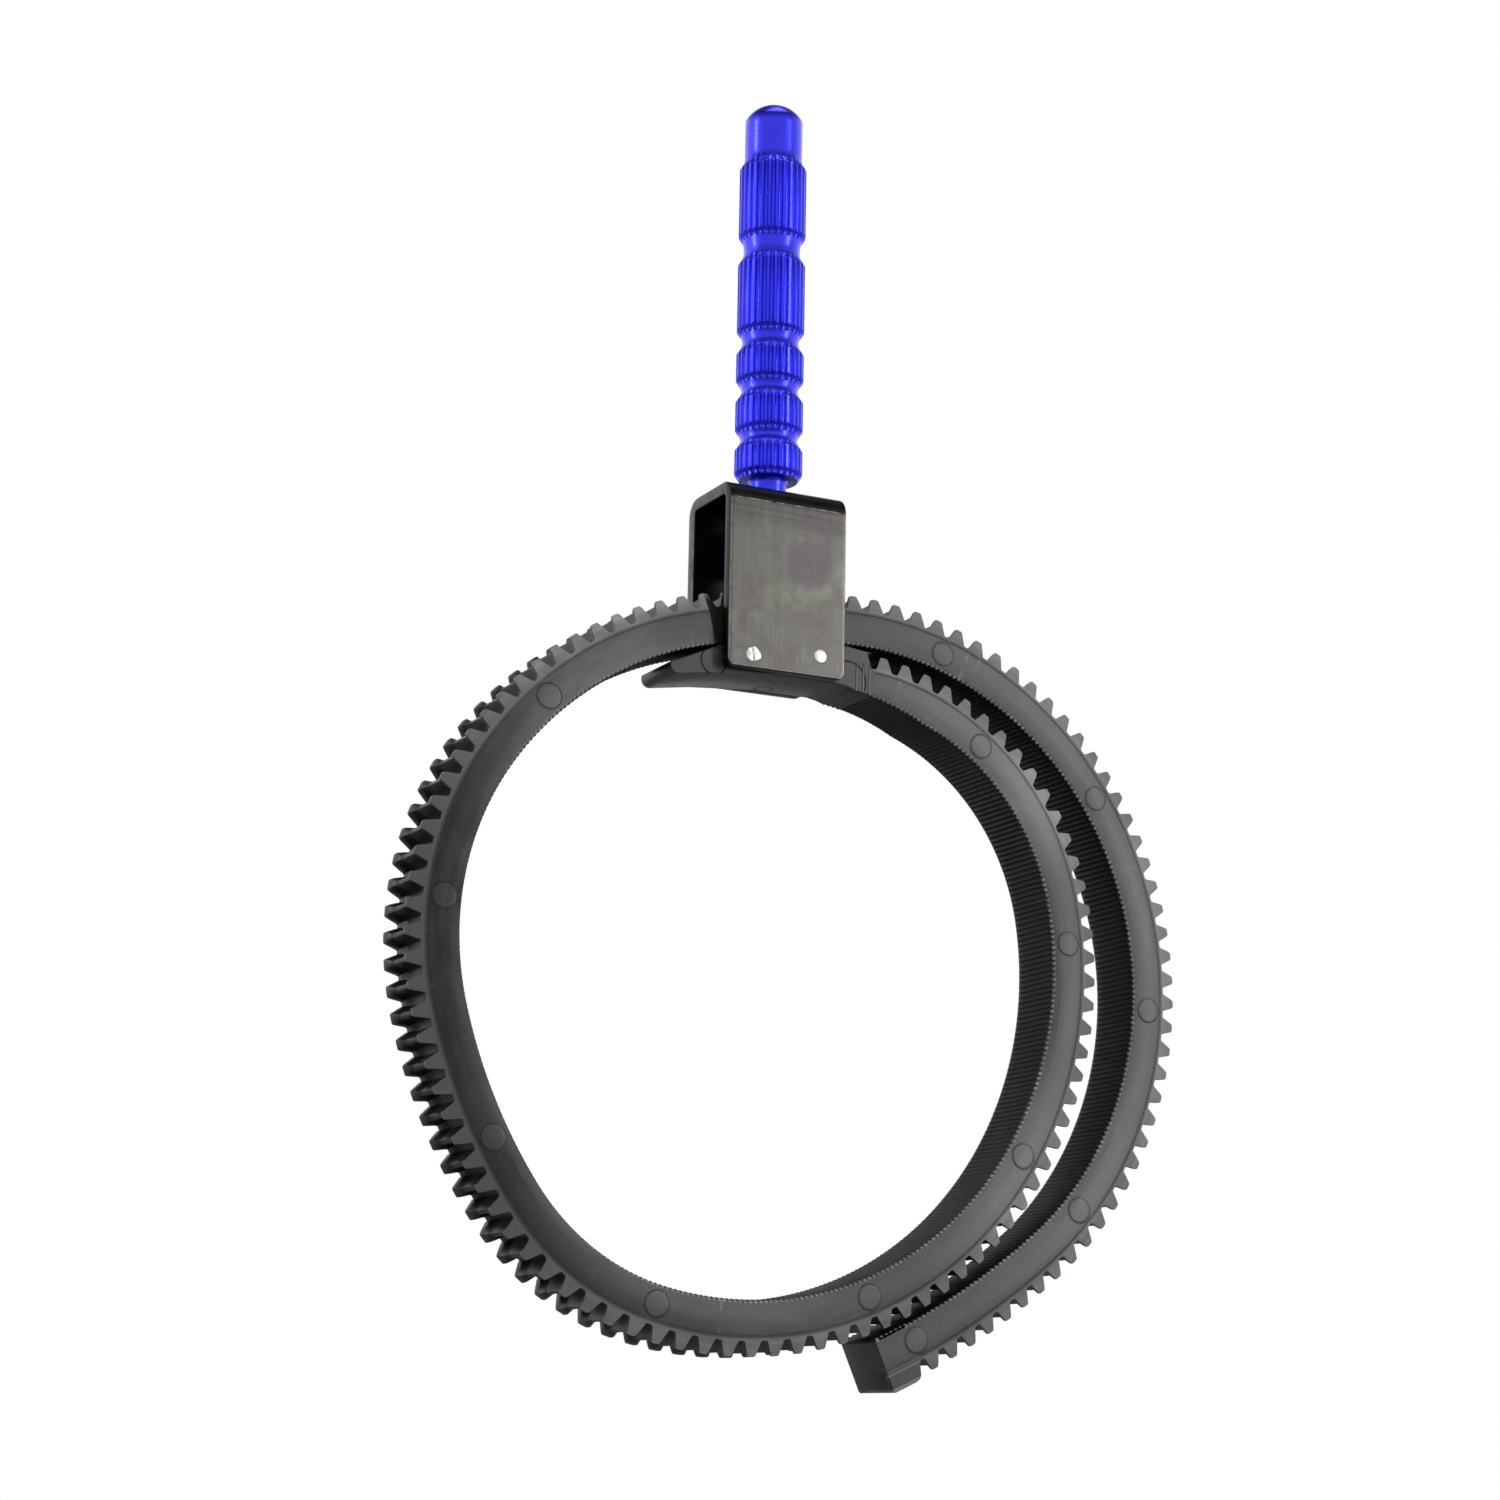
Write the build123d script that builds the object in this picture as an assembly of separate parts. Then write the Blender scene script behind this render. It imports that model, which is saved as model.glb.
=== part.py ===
from build123d import *
import math
import os

# Follow focus gear ring: a toothed belt wraps round a lens, comes back over its own moulded
# head inside a steel bracket, and is clamped there by a fluted grip with a screw end.
# Frame: Z up along the grip, Y along the lens axis, origin in the middle of the lens opening.
# The belt's route lies in the XZ plane. Lengths in millimetres, angles in degrees.

# ---- teeth and section of the belt ----
gear_module = 0.8
tooth_height = 1.6
tooth_tip_width = 0.70
tooth_root_width = 2.05
tooth_side_setback = 0.35
belt_width = 7.5
base_thickness = 4.15
neutral_offset = 0.6
root_sink = 0.3

# ---- route of the belt, clockwise from the head ----
exit_x = 8.65
exit_slope = 1.0
shoulder_radius = 26.9
shoulder_turn = 81.5
right_radius = 39.1
right_turn = 113.3
corner_radius = 26.8
corner_turn = 40.3
left_radius = 54.8
left_turn = 20.9
crest_slope = 7.4
crest_radius = 95.0
crest_half_length = 8.0
flare_turn = 49.73
flare_gap = 2.106
tail_end_gap = 0.392

# ---- how many teeth each stretch has ----
teeth_before_loop_mark = 7.03
first_tooth = -6
tail_teeth = 43
tail_link_teeth = 8
tooth_phase = 0.04
end_block_length = 4.5
end_chamfer = 0.8
link_gap = 0.04

# ---- moulded head ----
head_underside_z = 32.95
head_height = 3.68
head_rest_gap = 0.03
head_nose_reach = 5.95
head_nose_height = 1.25
head_nose_drop = 1.35
head_nose_radius = 0.9
head_nose_slope = 0.64
head_land = 0.4
first_gap_lead = 0.7
ramp_teeth = 3
ramp_drop = 0.3
ramp_bulge = 0.25
exit_above_underside = 0.25

# ---- steel bracket and its two pins ----
sheet = 1.4
bracket_width = 14.0
bracket_height = 20.6
bend_radius = 2.0
belt_side_clearance = 0.1
leg_foot_above_head = 0.05
pin_radius = 0.8
pin_spacing = 8.0
left_pin_above_foot = 1.45
right_pin_above_foot = 2.28
pin_proud = 0.06
fit_clearance = 0.02

# ---- threaded bush in the bracket's web ----
bush_flange_radius = 3.4
bush_flange_thickness = 1.6
bush_shank_radius = 2.9
thread_clearance = 0.06

# ---- grip with its screw end ----
thread_radius = 2.0
grip_gap = 2.0
flute_count = 28
flute_radius = 0.29
grip_radius = 3.75
waist_radius = 3.22
section_lengths = [4.05, 4.58, 4.38, 9.15, 9.35]
waist_lengths = [1.03, 1.15, 1.34, 2.00]
section_chamfer = 0.5
section_chamfer_length = 0.9
cap_length = 5.17
dome_height = 1.9

# ---- pressure foot snapped on the screw's tip ----
foot_radius = 3.3
foot_height = 2.6
foot_chamfer = 0.4
foot_to_teeth = 0.05
tip_neck_radius = 1.2
tip_neck_length = 0.7
tip_collar_radius = 1.55
tip_collar_length = 0.9
snap_clearance = 0.08

# ---- sizes that follow from the ones above ----
tooth_pitch = math.pi * gear_module
half_base = base_thickness / 2
half_width = belt_width / 2
crest_z = head_underside_z + head_height + head_rest_gap + half_base
exit_z = head_underside_z + exit_above_underside
leg_foot_z = head_underside_z + leg_foot_above_head
bracket_top_z = leg_foot_z + bracket_height
half_gap = half_width + belt_side_clearance
half_depth = half_gap + sheet
left_pin_z = leg_foot_z + left_pin_above_foot
right_pin_z = leg_foot_z + right_pin_above_foot
grip_bottom_z = bracket_top_z + grip_gap


def arc_end(start, radius, turn):
    """Where a clockwise arc ends; a place on the route is (x, z, heading in radians)."""
    x, z, heading = start
    centre_x = x + radius * math.sin(heading)
    centre_z = z - radius * math.cos(heading)
    heading -= turn
    return (centre_x - radius * math.sin(heading), centre_z + radius * math.cos(heading), heading)


def arc_through(start, x, z):
    """Radius and turn of the clockwise arc that leaves start along its heading and meets (x, z)."""
    chord_x = x - start[0]
    chord_z = z - start[1]
    swing = start[2] - math.atan2(chord_z, chord_x)
    half_turn = swing % (2 * math.pi)
    return math.hypot(chord_x, chord_z) / (2 * math.sin(half_turn)), 2 * half_turn


def joining_arcs(start, end):
    """Two arcs of equal tangent length that lead from one place on the route to another."""
    gap_x = end[0] - start[0]
    gap_z = end[1] - start[1]
    sum_x = math.cos(start[2]) + math.cos(end[2])
    sum_z = math.sin(start[2]) + math.sin(end[2])
    spread = 2 * (1 - math.cos(start[2] - end[2]))
    along = gap_x * sum_x + gap_z * sum_z
    tangent = (math.sqrt(along**2 + spread * (gap_x**2 + gap_z**2)) - along) / spread
    middle_x = (start[0] + end[0] + tangent * (math.cos(start[2]) - math.cos(end[2]))) / 2
    middle_z = (start[1] + end[1] + tangent * (math.sin(start[2]) - math.sin(end[2]))) / 2
    first = arc_through(start, middle_x, middle_z)
    second = arc_through(arc_end(start, *first), end[0], end[1])
    return [first, second]


def tail_arcs(start, right_start):
    """The tail's two arcs: out to where it stands furthest off the loop's right side, then back
    until its inner face all but touches the loop's teeth."""
    wall = base_thickness + tooth_height
    x, z, heading = arc_end(right_start, right_radius, math.radians(flare_turn))
    flare_offset = wall + flare_gap
    flare_x = x - flare_offset * math.sin(heading)
    flare_z = z + flare_offset * math.cos(heading)
    outward = arc_through(start, flare_x, flare_z)
    inward_heading = arc_end(start, *outward)[2]
    across_x = flare_x - (right_start[0] + right_radius * math.sin(right_start[2]))
    across_z = flare_z - (right_start[1] - right_radius * math.cos(right_start[2]))
    nearest = right_radius + wall + tail_end_gap
    lean = across_x * math.sin(inward_heading) - across_z * math.cos(inward_heading)
    end_radius = (nearest**2 - across_x**2 - across_z**2) / (2 * (lean + nearest))
    return [outward, (end_radius, math.radians(90))]


def belt_route():
    """The belt's middle line as a list of (start place, radius, turn in radians)."""
    place = (exit_x, exit_z, math.radians(exit_slope))
    crest_heading = math.radians(crest_slope)
    half_crest_turn = crest_half_length / crest_radius
    crest_start = arc_end((0, crest_z, crest_heading), crest_radius, -half_crest_turn)
    arcs = [
        (shoulder_radius, math.radians(shoulder_turn)),
        (right_radius, math.radians(right_turn)),
        (corner_radius, math.radians(corner_turn)),
        (left_radius, math.radians(left_turn)),
    ]
    loop_end = place
    for radius, turn in arcs:
        loop_end = arc_end(loop_end, radius, turn)
    arcs += joining_arcs(loop_end, crest_start)
    arcs.append((crest_radius, 2 * half_crest_turn))
    crest_end = arc_end(crest_start, *arcs[-1])
    arcs += tail_arcs(crest_end, arc_end(place, *arcs[0]))
    route = []
    for radius, turn in arcs:
        route.append((place, radius, turn))
        place = arc_end(place, radius, turn)
    return route


def teeth_to_arc_ends():
    """The tooth number at each place where the route goes from one arc to the next."""
    ends = []
    length = 0
    for start, radius, turn in route:
        length += turn * (radius + neutral_offset)
        ends.append(length / tooth_pitch - teeth_before_loop_mark)
    return ends


route = belt_route()
crest_start_tooth, crest_end_tooth = teeth_to_arc_ends()[-4:-2]
tail_start_tooth = math.ceil(crest_end_tooth + 1)
last_gap = tail_start_tooth + tail_teeth
belt_end_tooth = last_gap + end_block_length / tooth_pitch


def place_at(tooth):
    """The place on the middle line that is this many tooth pitches along the neutral line."""
    left = (tooth + teeth_before_loop_mark) * tooth_pitch
    for start, radius, turn in route:
        neutral_radius = radius + neutral_offset
        if left <= turn * neutral_radius:
            break
        left -= turn * neutral_radius
    return arc_end(start, radius, left / neutral_radius)


def offset_point(tooth, offset):
    """A point beside the route, offset outwards, as (x, z)."""
    x, z, heading = place_at(tooth)
    return (x - offset * math.sin(heading), z + offset * math.cos(heading))


def stretch_ends(first, last):
    """The two tooth numbers, with those between them where one arc ends and the next begins."""
    inside = [tooth for tooth in teeth_to_arc_ends() if first + 0.05 < tooth < last - 0.05]
    return [first] + inside + [last]


def offset_edges(first, last, offset):
    """Arcs beside the route from one tooth number to another."""
    stops = stretch_ends(first, last)
    edges = []
    for begin, end in zip(stops, stops[1:]):
        middle = (begin + end) / 2
        points = [offset_point(tooth, offset) for tooth in (begin, middle, end)]
        edges.append(ThreePointArc(*points))
    return edges


def slab(edges, thickness):
    """A solid from a closed outline in XZ, centred on the belt's middle plane."""
    face = make_face(edges)
    upright = Plane.XZ * face
    return extrude(upright, thickness / 2, both=True)


def base_strip(first, last):
    """The plain strip under the teeth between two tooth numbers."""
    outer = offset_edges(first, last, half_base)
    inner = offset_edges(first, last, -half_base)
    start_cap = Line(offset_point(first, -half_base), offset_point(first, half_base))
    end_cap = Line(offset_point(last, -half_base), offset_point(last, half_base))
    return slab(outer + inner + [start_cap, end_cap], belt_width)


def tooth_outline(tooth):
    """The four corners of the tooth between this gap number and the next."""
    middle = tooth + 0.5 + tooth_phase
    half_root = tooth_root_width / 2 / tooth_pitch
    half_tip = tooth_tip_width / 2 / tooth_pitch
    return [
        offset_point(middle - half_root, half_base - root_sink),
        offset_point(middle - half_root, half_base),
        offset_point(middle - half_tip, half_base + tooth_height),
        offset_point(middle + half_tip, half_base + tooth_height),
        offset_point(middle + half_root, half_base),
        offset_point(middle + half_root, half_base - root_sink),
    ]


def tooth_row(first, last):
    """The teeth between two gap numbers, a little narrower than the strip."""
    solids = []
    for tooth in range(first, last):
        outline = Polyline(*tooth_outline(tooth), close=True)
        solids.append(slab([outline], belt_width - 2 * tooth_side_setback))
    return solids


def joined(first_solid, others):
    """One solid from touching ones."""
    whole = first_solid.fuse(*others)
    return whole.solids()[0] if isinstance(whole, ShapeList) else whole


def ramp_ends():
    """Where the head's underside gives way to the strip's inner face, and where that is whole."""
    top = (exit_x - ramp_drop, head_underside_z - ramp_drop)
    return top, offset_point(first_tooth + ramp_teeth, -half_base)


def moulded_head():
    """The block under the crossing: the belt rests on its top, the lens on its underside."""
    rest = half_base + head_rest_gap
    belt_left = offset_point(crest_start_tooth, -rest)
    belt_middle = offset_point((crest_start_tooth + crest_end_tooth) / 2, -rest)
    belt_right = offset_point(crest_end_tooth, -rest)
    gap_tooth = first_tooth + tooth_phase
    gap_edge = offset_point(gap_tooth - first_gap_lead / tooth_pitch, half_base + tooth_height)
    left_x = -bracket_width / 2 - head_nose_reach
    nose_bottom_z = head_underside_z - head_nose_drop
    nose_top = (left_x, nose_bottom_z + head_nose_height)
    nose_corner = (left_x, nose_bottom_z)
    under_left = (-bracket_width / 2 - head_land, head_underside_z - head_nose_slope)
    under_right = (bracket_width / 2, head_underside_z)
    ramp_top = ramp_ends()[0]
    neck_tooth = first_tooth - 0.4
    neck_inner = offset_point(neck_tooth, 0)
    neck_outer = offset_point(neck_tooth, half_base)
    edges = [
        Line(nose_corner, nose_top),
        Line(nose_top, belt_left),
        ThreePointArc(belt_left, belt_middle, belt_right),
        Line(belt_right, gap_edge),
        Line(gap_edge, neck_outer),
        Line(neck_outer, neck_inner),
        Line(neck_inner, ramp_top),
        Line(ramp_top, under_right),
        Line(under_right, (0, head_underside_z)),
        Line((0, head_underside_z), under_left),
        Line(under_left, nose_corner),
    ]
    block = slab(edges, belt_width)
    corner = block.edges().filter_by(Axis.Y).sort_by_distance((left_x, 0, nose_bottom_z))[0]
    return fillet(corner, head_nose_radius)


def head_relief():
    """The wedge taken off the strip's inner face, from the head's underside to the full strip."""
    ramp_top, ramp_end = ramp_ends()
    ramp_middle = (
        (ramp_top[0] + ramp_end[0]) / 2,
        (ramp_top[1] + ramp_end[1]) / 2 + ramp_bulge,
    )
    below = ramp_end[1] - 2 * base_thickness
    left_x = ramp_top[0] - base_thickness
    edges = [
        ThreePointArc(ramp_top, ramp_middle, ramp_end),
        Polyline(ramp_end, (ramp_end[0], below), (left_x, below), (left_x, ramp_top[1]), ramp_top),
    ]
    return slab(edges, belt_width + 2)


def pin_axes():
    """Where the two pins cross the head and the bracket's legs, as (x, z)."""
    return [(-pin_spacing / 2, left_pin_z), (pin_spacing / 2, right_pin_z)]


def cross_cylinder(x, z, radius, length):
    """A cylinder along Y, centred on the belt's middle plane."""
    return Pos(x, 0, z) * Rot(90, 0, 0) * Cylinder(radius, length)


def make_gear_belt():
    strip = base_strip(first_tooth - 1.0, tail_start_tooth - link_gap / tooth_pitch)
    belt = strip - head_relief()
    belt = joined(belt, [moulded_head()])
    belt = joined(belt, tooth_row(first_tooth, tail_start_tooth))
    for x, z in pin_axes():
        belt = belt - cross_cylinder(x, z, pin_radius + fit_clearance, belt_width + 2)
    return belt


def end_block():
    """The plain block of full height at the belt's free end, with its outer corner cut off."""
    left = last_gap + 0.5 + tooth_phase
    half_root = tooth_root_width / 2 / tooth_pitch
    half_tip = tooth_tip_width / 2 / tooth_pitch
    chamfer_teeth = end_chamfer / tooth_pitch
    top = half_base + tooth_height
    corners = [
        (left - half_root, half_base - root_sink),
        (left - half_root, half_base),
        (left - half_tip, top),
        (belt_end_tooth - chamfer_teeth, top),
        (belt_end_tooth, top - end_chamfer / 2),
        (belt_end_tooth, half_base - root_sink),
    ]
    outline = Polyline(*[offset_point(*corner) for corner in corners], close=True)
    return slab([outline], belt_width - 2 * tooth_side_setback)


def make_tail_link(first, last):
    link = base_strip(first, min(last - link_gap / tooth_pitch, belt_end_tooth))
    if last <= last_gap:
        return joined(link, tooth_row(first, last))
    return joined(link, tooth_row(first, last_gap) + [end_block()])


def make_bracket():
    middle_z = leg_foot_z + bracket_height / 2
    outer = Pos(0, 0, middle_z) * Box(bracket_width, 2 * half_depth, bracket_height)
    top_edges = outer.edges().filter_by(Axis.X).sort_by(Axis.Z)[-2:]
    outer = fillet(top_edges, bend_radius)
    inner = Pos(0, 0, middle_z - sheet) * Box(bracket_width + 2, 2 * half_gap, bracket_height)
    inner_top = inner.edges().filter_by(Axis.X).sort_by(Axis.Z)[-2:]
    inner = fillet(inner_top, bend_radius - sheet)
    bracket = outer - inner
    for x, z in pin_axes():
        bracket = bracket - cross_cylinder(x, z, pin_radius + fit_clearance, 2 * half_depth + 2)
    web_hole = Pos(0, 0, bracket_top_z) * Cylinder(bush_shank_radius + fit_clearance, 4 * sheet)
    return bracket - web_hole


def make_leg_pins():
    length = 2 * (half_depth + pin_proud)
    return Compound([cross_cylinder(x, z, pin_radius, length).solid() for x, z in pin_axes()])


def make_thread_bush():
    web_underside_z = bracket_top_z - sheet
    shank = Pos(0, 0, web_underside_z + sheet / 2) * Cylinder(bush_shank_radius, sheet)
    flange_z = web_underside_z - bush_flange_thickness / 2
    flange = Pos(0, 0, flange_z) * Cylinder(bush_flange_radius, bush_flange_thickness)
    bore = Pos(0, 0, web_underside_z) * Cylinder(thread_radius + thread_clearance, 6 * sheet)
    return shank + flange - bore


def foot_bottom_z():
    """Just above the highest tooth under the foot when the screw is done up."""
    samples = 60
    heights = []
    for step in range(samples + 1):
        tooth = crest_start_tooth + (crest_end_tooth - crest_start_tooth) * step / samples
        x, z = offset_point(tooth, half_base + tooth_height)
        if abs(x) < foot_radius:
            heights.append(z)
    return max(heights) + foot_to_teeth


foot_z = foot_bottom_z()
foot_top_z = foot_z + foot_height
tip_shoulder_z = foot_top_z + snap_clearance


def make_pressure_foot():
    body = Pos(0, 0, foot_z + foot_height / 2) * Cylinder(foot_radius, foot_height)
    rim = body.edges().group_by(Axis.Z)[0]
    body = chamfer(rim, foot_chamfer)
    mouth = Pos(0, 0, foot_top_z) * Cylinder(tip_neck_radius + snap_clearance, 2 * tip_neck_length)
    socket_length = tip_collar_length + 2 * snap_clearance
    socket_z = tip_shoulder_z - tip_neck_length + snap_clearance - socket_length / 2
    socket = Pos(0, 0, socket_z) * Cylinder(tip_collar_radius + snap_clearance, socket_length)
    return body - mouth - socket


def section_profile(z, length):
    """Outline of one fluted section, chamfered at both ends, as (radius, z) points."""
    rim = grip_radius - section_chamfer
    return [
        (rim, z),
        (grip_radius, z + section_chamfer_length),
        (grip_radius, z + length - section_chamfer_length),
        (rim, z + length),
    ]


def make_grip():
    collar_bottom = tip_shoulder_z - tip_neck_length - tip_collar_length
    points = [
        (0, collar_bottom),
        (tip_collar_radius, collar_bottom),
        (tip_collar_radius, collar_bottom + tip_collar_length),
        (tip_neck_radius, collar_bottom + tip_collar_length),
        (tip_neck_radius, tip_shoulder_z),
        (thread_radius, tip_shoulder_z),
        (thread_radius, grip_bottom_z),
    ]
    z = grip_bottom_z
    for index, length in enumerate(section_lengths):
        points += section_profile(z, length)
        z += length
        if index < len(waist_lengths):
            points += [(waist_radius, z), (waist_radius, z + waist_lengths[index])]
            z += waist_lengths[index]
    fluted_top_z = z
    cap_top_z = fluted_top_z + cap_length
    points += [(waist_radius, fluted_top_z), (waist_radius, cap_top_z)]
    dome_radius = (waist_radius**2 + dome_height**2) / (2 * dome_height)
    dome_middle = (
        dome_radius * math.sin(math.asin(waist_radius / dome_radius) / 2),
        cap_top_z + dome_height - dome_radius * (1 - math.cos(math.asin(waist_radius / dome_radius) / 2)),
    )
    crown = (0, cap_top_z + dome_height)
    dome = ThreePointArc(points[-1], dome_middle, crown)
    edges = [Polyline(*points), dome, Line(crown, points[0])]
    turned = revolve(Plane.XZ * make_face(edges), Axis.Z)
    flute_length = fluted_top_z - grip_bottom_z + 2 * section_chamfer_length
    flute = Cylinder(flute_radius, flute_length)
    flute_z = (fluted_top_z + grip_bottom_z) / 2
    flutes = []
    for index in range(flute_count):
        turned_by = Rot(0, 0, 360 * index / flute_count)
        flutes.append(turned_by * Pos(grip_radius, 0, flute_z) * flute)
    return turned.cut(*flutes)


def tail_nodes():
    """The tail's flexing links by node name, cut at gaps between teeth."""
    nodes = {}
    for first in range(tail_start_tooth, last_gap, tail_link_teeth):
        name = f"belt_tail_{len(nodes) + 1}"
        nodes[name] = make_tail_link(first, first + tail_link_teeth)
        x, z = offset_point(first, half_base)
        print(f"hinge of {name}: x {x:.4f}, z {z:.4f}")
    return nodes


parts = {
    "gear_belt": make_gear_belt(),
    "clamp_bracket": make_bracket(),
    "leg_pins": make_leg_pins(),
    "thread_bush": make_thread_bush(),
    "pressure_foot": make_pressure_foot(),
    "grip": make_grip(),
}
parts.update(tail_nodes())

os.makedirs("parts", exist_ok=True)
for name, shape in parts.items():
    export_step(shape, f"parts/{name}.step")
print(f"foot underside z {foot_z:.3f}, bush underside z {bracket_top_z - sheet - bush_flange_thickness:.3f}")
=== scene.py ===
import bpy
import bmesh
import math
from mathutils import Matrix, Vector, noise


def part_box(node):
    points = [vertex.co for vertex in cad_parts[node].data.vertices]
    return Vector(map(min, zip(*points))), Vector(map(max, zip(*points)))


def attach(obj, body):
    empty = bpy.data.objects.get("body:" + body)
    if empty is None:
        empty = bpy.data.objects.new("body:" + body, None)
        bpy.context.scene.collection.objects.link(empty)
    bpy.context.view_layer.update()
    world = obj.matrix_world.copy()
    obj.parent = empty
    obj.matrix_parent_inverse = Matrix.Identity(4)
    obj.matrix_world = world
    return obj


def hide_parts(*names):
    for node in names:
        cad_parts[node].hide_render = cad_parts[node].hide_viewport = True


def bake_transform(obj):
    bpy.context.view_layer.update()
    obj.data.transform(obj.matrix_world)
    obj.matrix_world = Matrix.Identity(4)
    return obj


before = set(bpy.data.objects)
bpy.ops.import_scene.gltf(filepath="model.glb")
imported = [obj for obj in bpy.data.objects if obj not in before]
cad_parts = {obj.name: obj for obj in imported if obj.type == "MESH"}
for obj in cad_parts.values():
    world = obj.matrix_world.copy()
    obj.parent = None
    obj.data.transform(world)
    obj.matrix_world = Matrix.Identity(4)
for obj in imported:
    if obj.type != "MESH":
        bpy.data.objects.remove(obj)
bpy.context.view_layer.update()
mm = 0.001  # sizes below are in millimetres, meshes in metres


def feed(socket, value):
    # a socket takes either another socket or a plain value
    if isinstance(value, bpy.types.NodeSocket):
        socket.id_data.links.new(value, socket)
    elif value is not None:
        socket.default_value = value


def addNode(tree, kind, inputs=None, **settings):
    # a node with its settings first, then its inputs by name or number
    made = tree.nodes.new(kind)
    for name, value in settings.items():
        setattr(made, name, value)
    for name, value in (inputs or {}).items():
        feed(made.inputs[name], value)
    return made


def treeOf(*values):
    # the node tree of the first socket among these values
    return next(value.id_data for value in values if isinstance(value, bpy.types.NodeSocket))


def calc(operation, *values, clamp=False):
    settings = {"operation": operation, "use_clamp": clamp}
    return addNode(treeOf(*values), "ShaderNodeMath", dict(enumerate(values)), **settings).outputs[0]


def folded(operation, values):
    total = values[0]
    for value in values[1:]:
        total = calc(operation, total, value)
    return total


def times(*values):
    return folded("MULTIPLY", values)


def plus(*values):
    return folded("ADD", values)


def most(*values):
    return folded("MAXIMUM", values)


def minus(first, second):
    return calc("SUBTRACT", first, second)


def absolute(value):
    return calc("ABSOLUTE", value)


def offBy(value, middle):
    return absolute(minus(value, middle))


def vectorCalc(operation, first, second=None, out="Vector", **others):
    inputs = {0: first, 1: second, **others}
    return addNode(treeOf(first), "ShaderNodeVectorMath", inputs, operation=operation).outputs[out]


def spread(value, low, high, toLow=0.0, toHigh=1.0, smooth=False):
    inputs = dict(enumerate((value, low, high, toLow, toHigh)))
    settings = {"clamp": True, "interpolation_type": "SMOOTHSTEP" if smooth else "LINEAR"}
    return addNode(treeOf(value), "ShaderNodeMapRange", inputs, **settings).outputs[0]


def noiseAt(place, scale, detail=2.0, roughness=0.5, out="Fac"):
    inputs = {"Vector": place, "Scale": scale, "Detail": detail, "Roughness": roughness}
    return addNode(treeOf(place), "ShaderNodeTexNoise", inputs).outputs[out]


def axesOf(place):
    return addNode(treeOf(place), "ShaderNodeSeparateXYZ", {0: place}).outputs


def plainObject(name, mesh):
    made = bpy.data.objects.new(name, mesh)
    bpy.context.scene.collection.objects.link(made)
    return made


def meshFrom(name, points, faces):
    mesh = bpy.data.meshes.new(name)
    mesh.from_pydata(points, [], faces)
    mesh.validate()
    return mesh


def smoothed(mesh, angle=32):
    mesh.shade_smooth()
    mesh.set_sharp_from_angle(angle=math.radians(angle))


def closed(mesh):
    # fills open ends and turns every face outwards
    work = bmesh.new()
    work.from_mesh(mesh)
    bmesh.ops.remove_doubles(work, verts=work.verts, dist=1e-7)
    openEdges = [edge for edge in work.edges if edge.is_boundary]
    if openEdges:
        bmesh.ops.holes_fill(work, edges=openEdges)
    bmesh.ops.recalc_face_normals(work, faces=work.faces)
    work.to_mesh(mesh)
    work.free()


def solidPiece(name, points, faces, material, angle=32):
    mesh = meshFrom(name, points, faces)
    closed(mesh)
    smoothed(mesh, angle)
    mesh.materials.append(material)
    return plainObject(name, mesh)


def finished(name, carrier, material, helpers=()):
    # the evaluated object as one plain mesh, with its helpers removed
    graph = bpy.context.evaluated_depsgraph_get()
    mesh = bpy.data.meshes.new_from_object(carrier.evaluated_get(graph))
    for used in [carrier, *helpers]:
        bpy.data.objects.remove(used)
    closed(mesh)
    smoothed(mesh)
    mesh.materials.clear()
    mesh.materials.append(material)
    return plainObject(name, mesh)


def bandFaces(rings, count, start=0, wrap=True, flip=False):
    # the quads between rings of points, where wrap joins the ends of each ring
    faces = []
    for ring in range(rings - 1):
        low = start + ring * count
        for i in range(count if wrap else count - 1):
            near, far = (i + 1) % count, i
            if not flip:
                near, far = far, near
            faces.append([low + near, low + far, low + count + far, low + count + near])
    return faces


def endFaces(count, total):
    return [list(range(count)), list(range(total - count, total))]


def roundedSlab(outline, halfWidth, rounding, place, steps=2):
    # a prism of a closed outline, rounded where its sides meet its two faces
    count = len(outline)
    area = sum(outline[i - 1][0] * outline[i][1] - outline[i][0] * outline[i - 1][1] for i in range(count))
    side = 1 if area > 0 else -1
    inward = []
    for i in range(count):
        before, here, after = (Vector(outline[k % count]) for k in (i - 1, i, i + 1))
        legs = [(here - before).normalized(), (after - here).normalized()]
        normals = [Vector((-leg.y, leg.x)) * side for leg in legs]
        corner = (normals[0] + normals[1]).normalized()
        inward.append(corner / max(0.55, corner.dot(normals[0])))
    border = rounding * 1.4  # a flat ring inside each face's rim keeps its shading even
    rings = [(border, -halfWidth)]
    for end in (-1, 1):
        for step in range(steps + 1):
            turn = math.pi / 2 * (step if end < 0 else steps - step) / steps
            depth = halfWidth - rounding * (1 - math.cos(turn))
            rings.append((rounding * (1 - math.sin(turn)), end * depth))
    rings.append((border, halfWidth))
    points = []
    for inset, depth in rings:
        for (a, b), push in zip(outline, inward):
            points.append(place(a + push.x * inset, b + push.y * inset, depth))
    return points, endFaces(count, len(points)) + bandFaces(len(rings), count)


def turned(radius, angle, height):
    return (radius * math.cos(angle) * mm, radius * math.sin(angle) * mm, height * mm)


def lathe(rows, columns=96, ring=False):
    # (radius, height) rows turned about the grip's axis; a ring's last row joins its first
    turns = [2 * math.pi * i / columns for i in range(columns)]
    points = [turned(radius, turn, height) for radius, height in rows for turn in turns]
    faces = bandFaces(len(rows), columns)
    if ring:
        last = (len(rows) - 1) * columns
        faces += [[last + i, last + (i + 1) % columns, (i + 1) % columns, i] for i in range(columns)]
    return points, faces


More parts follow.
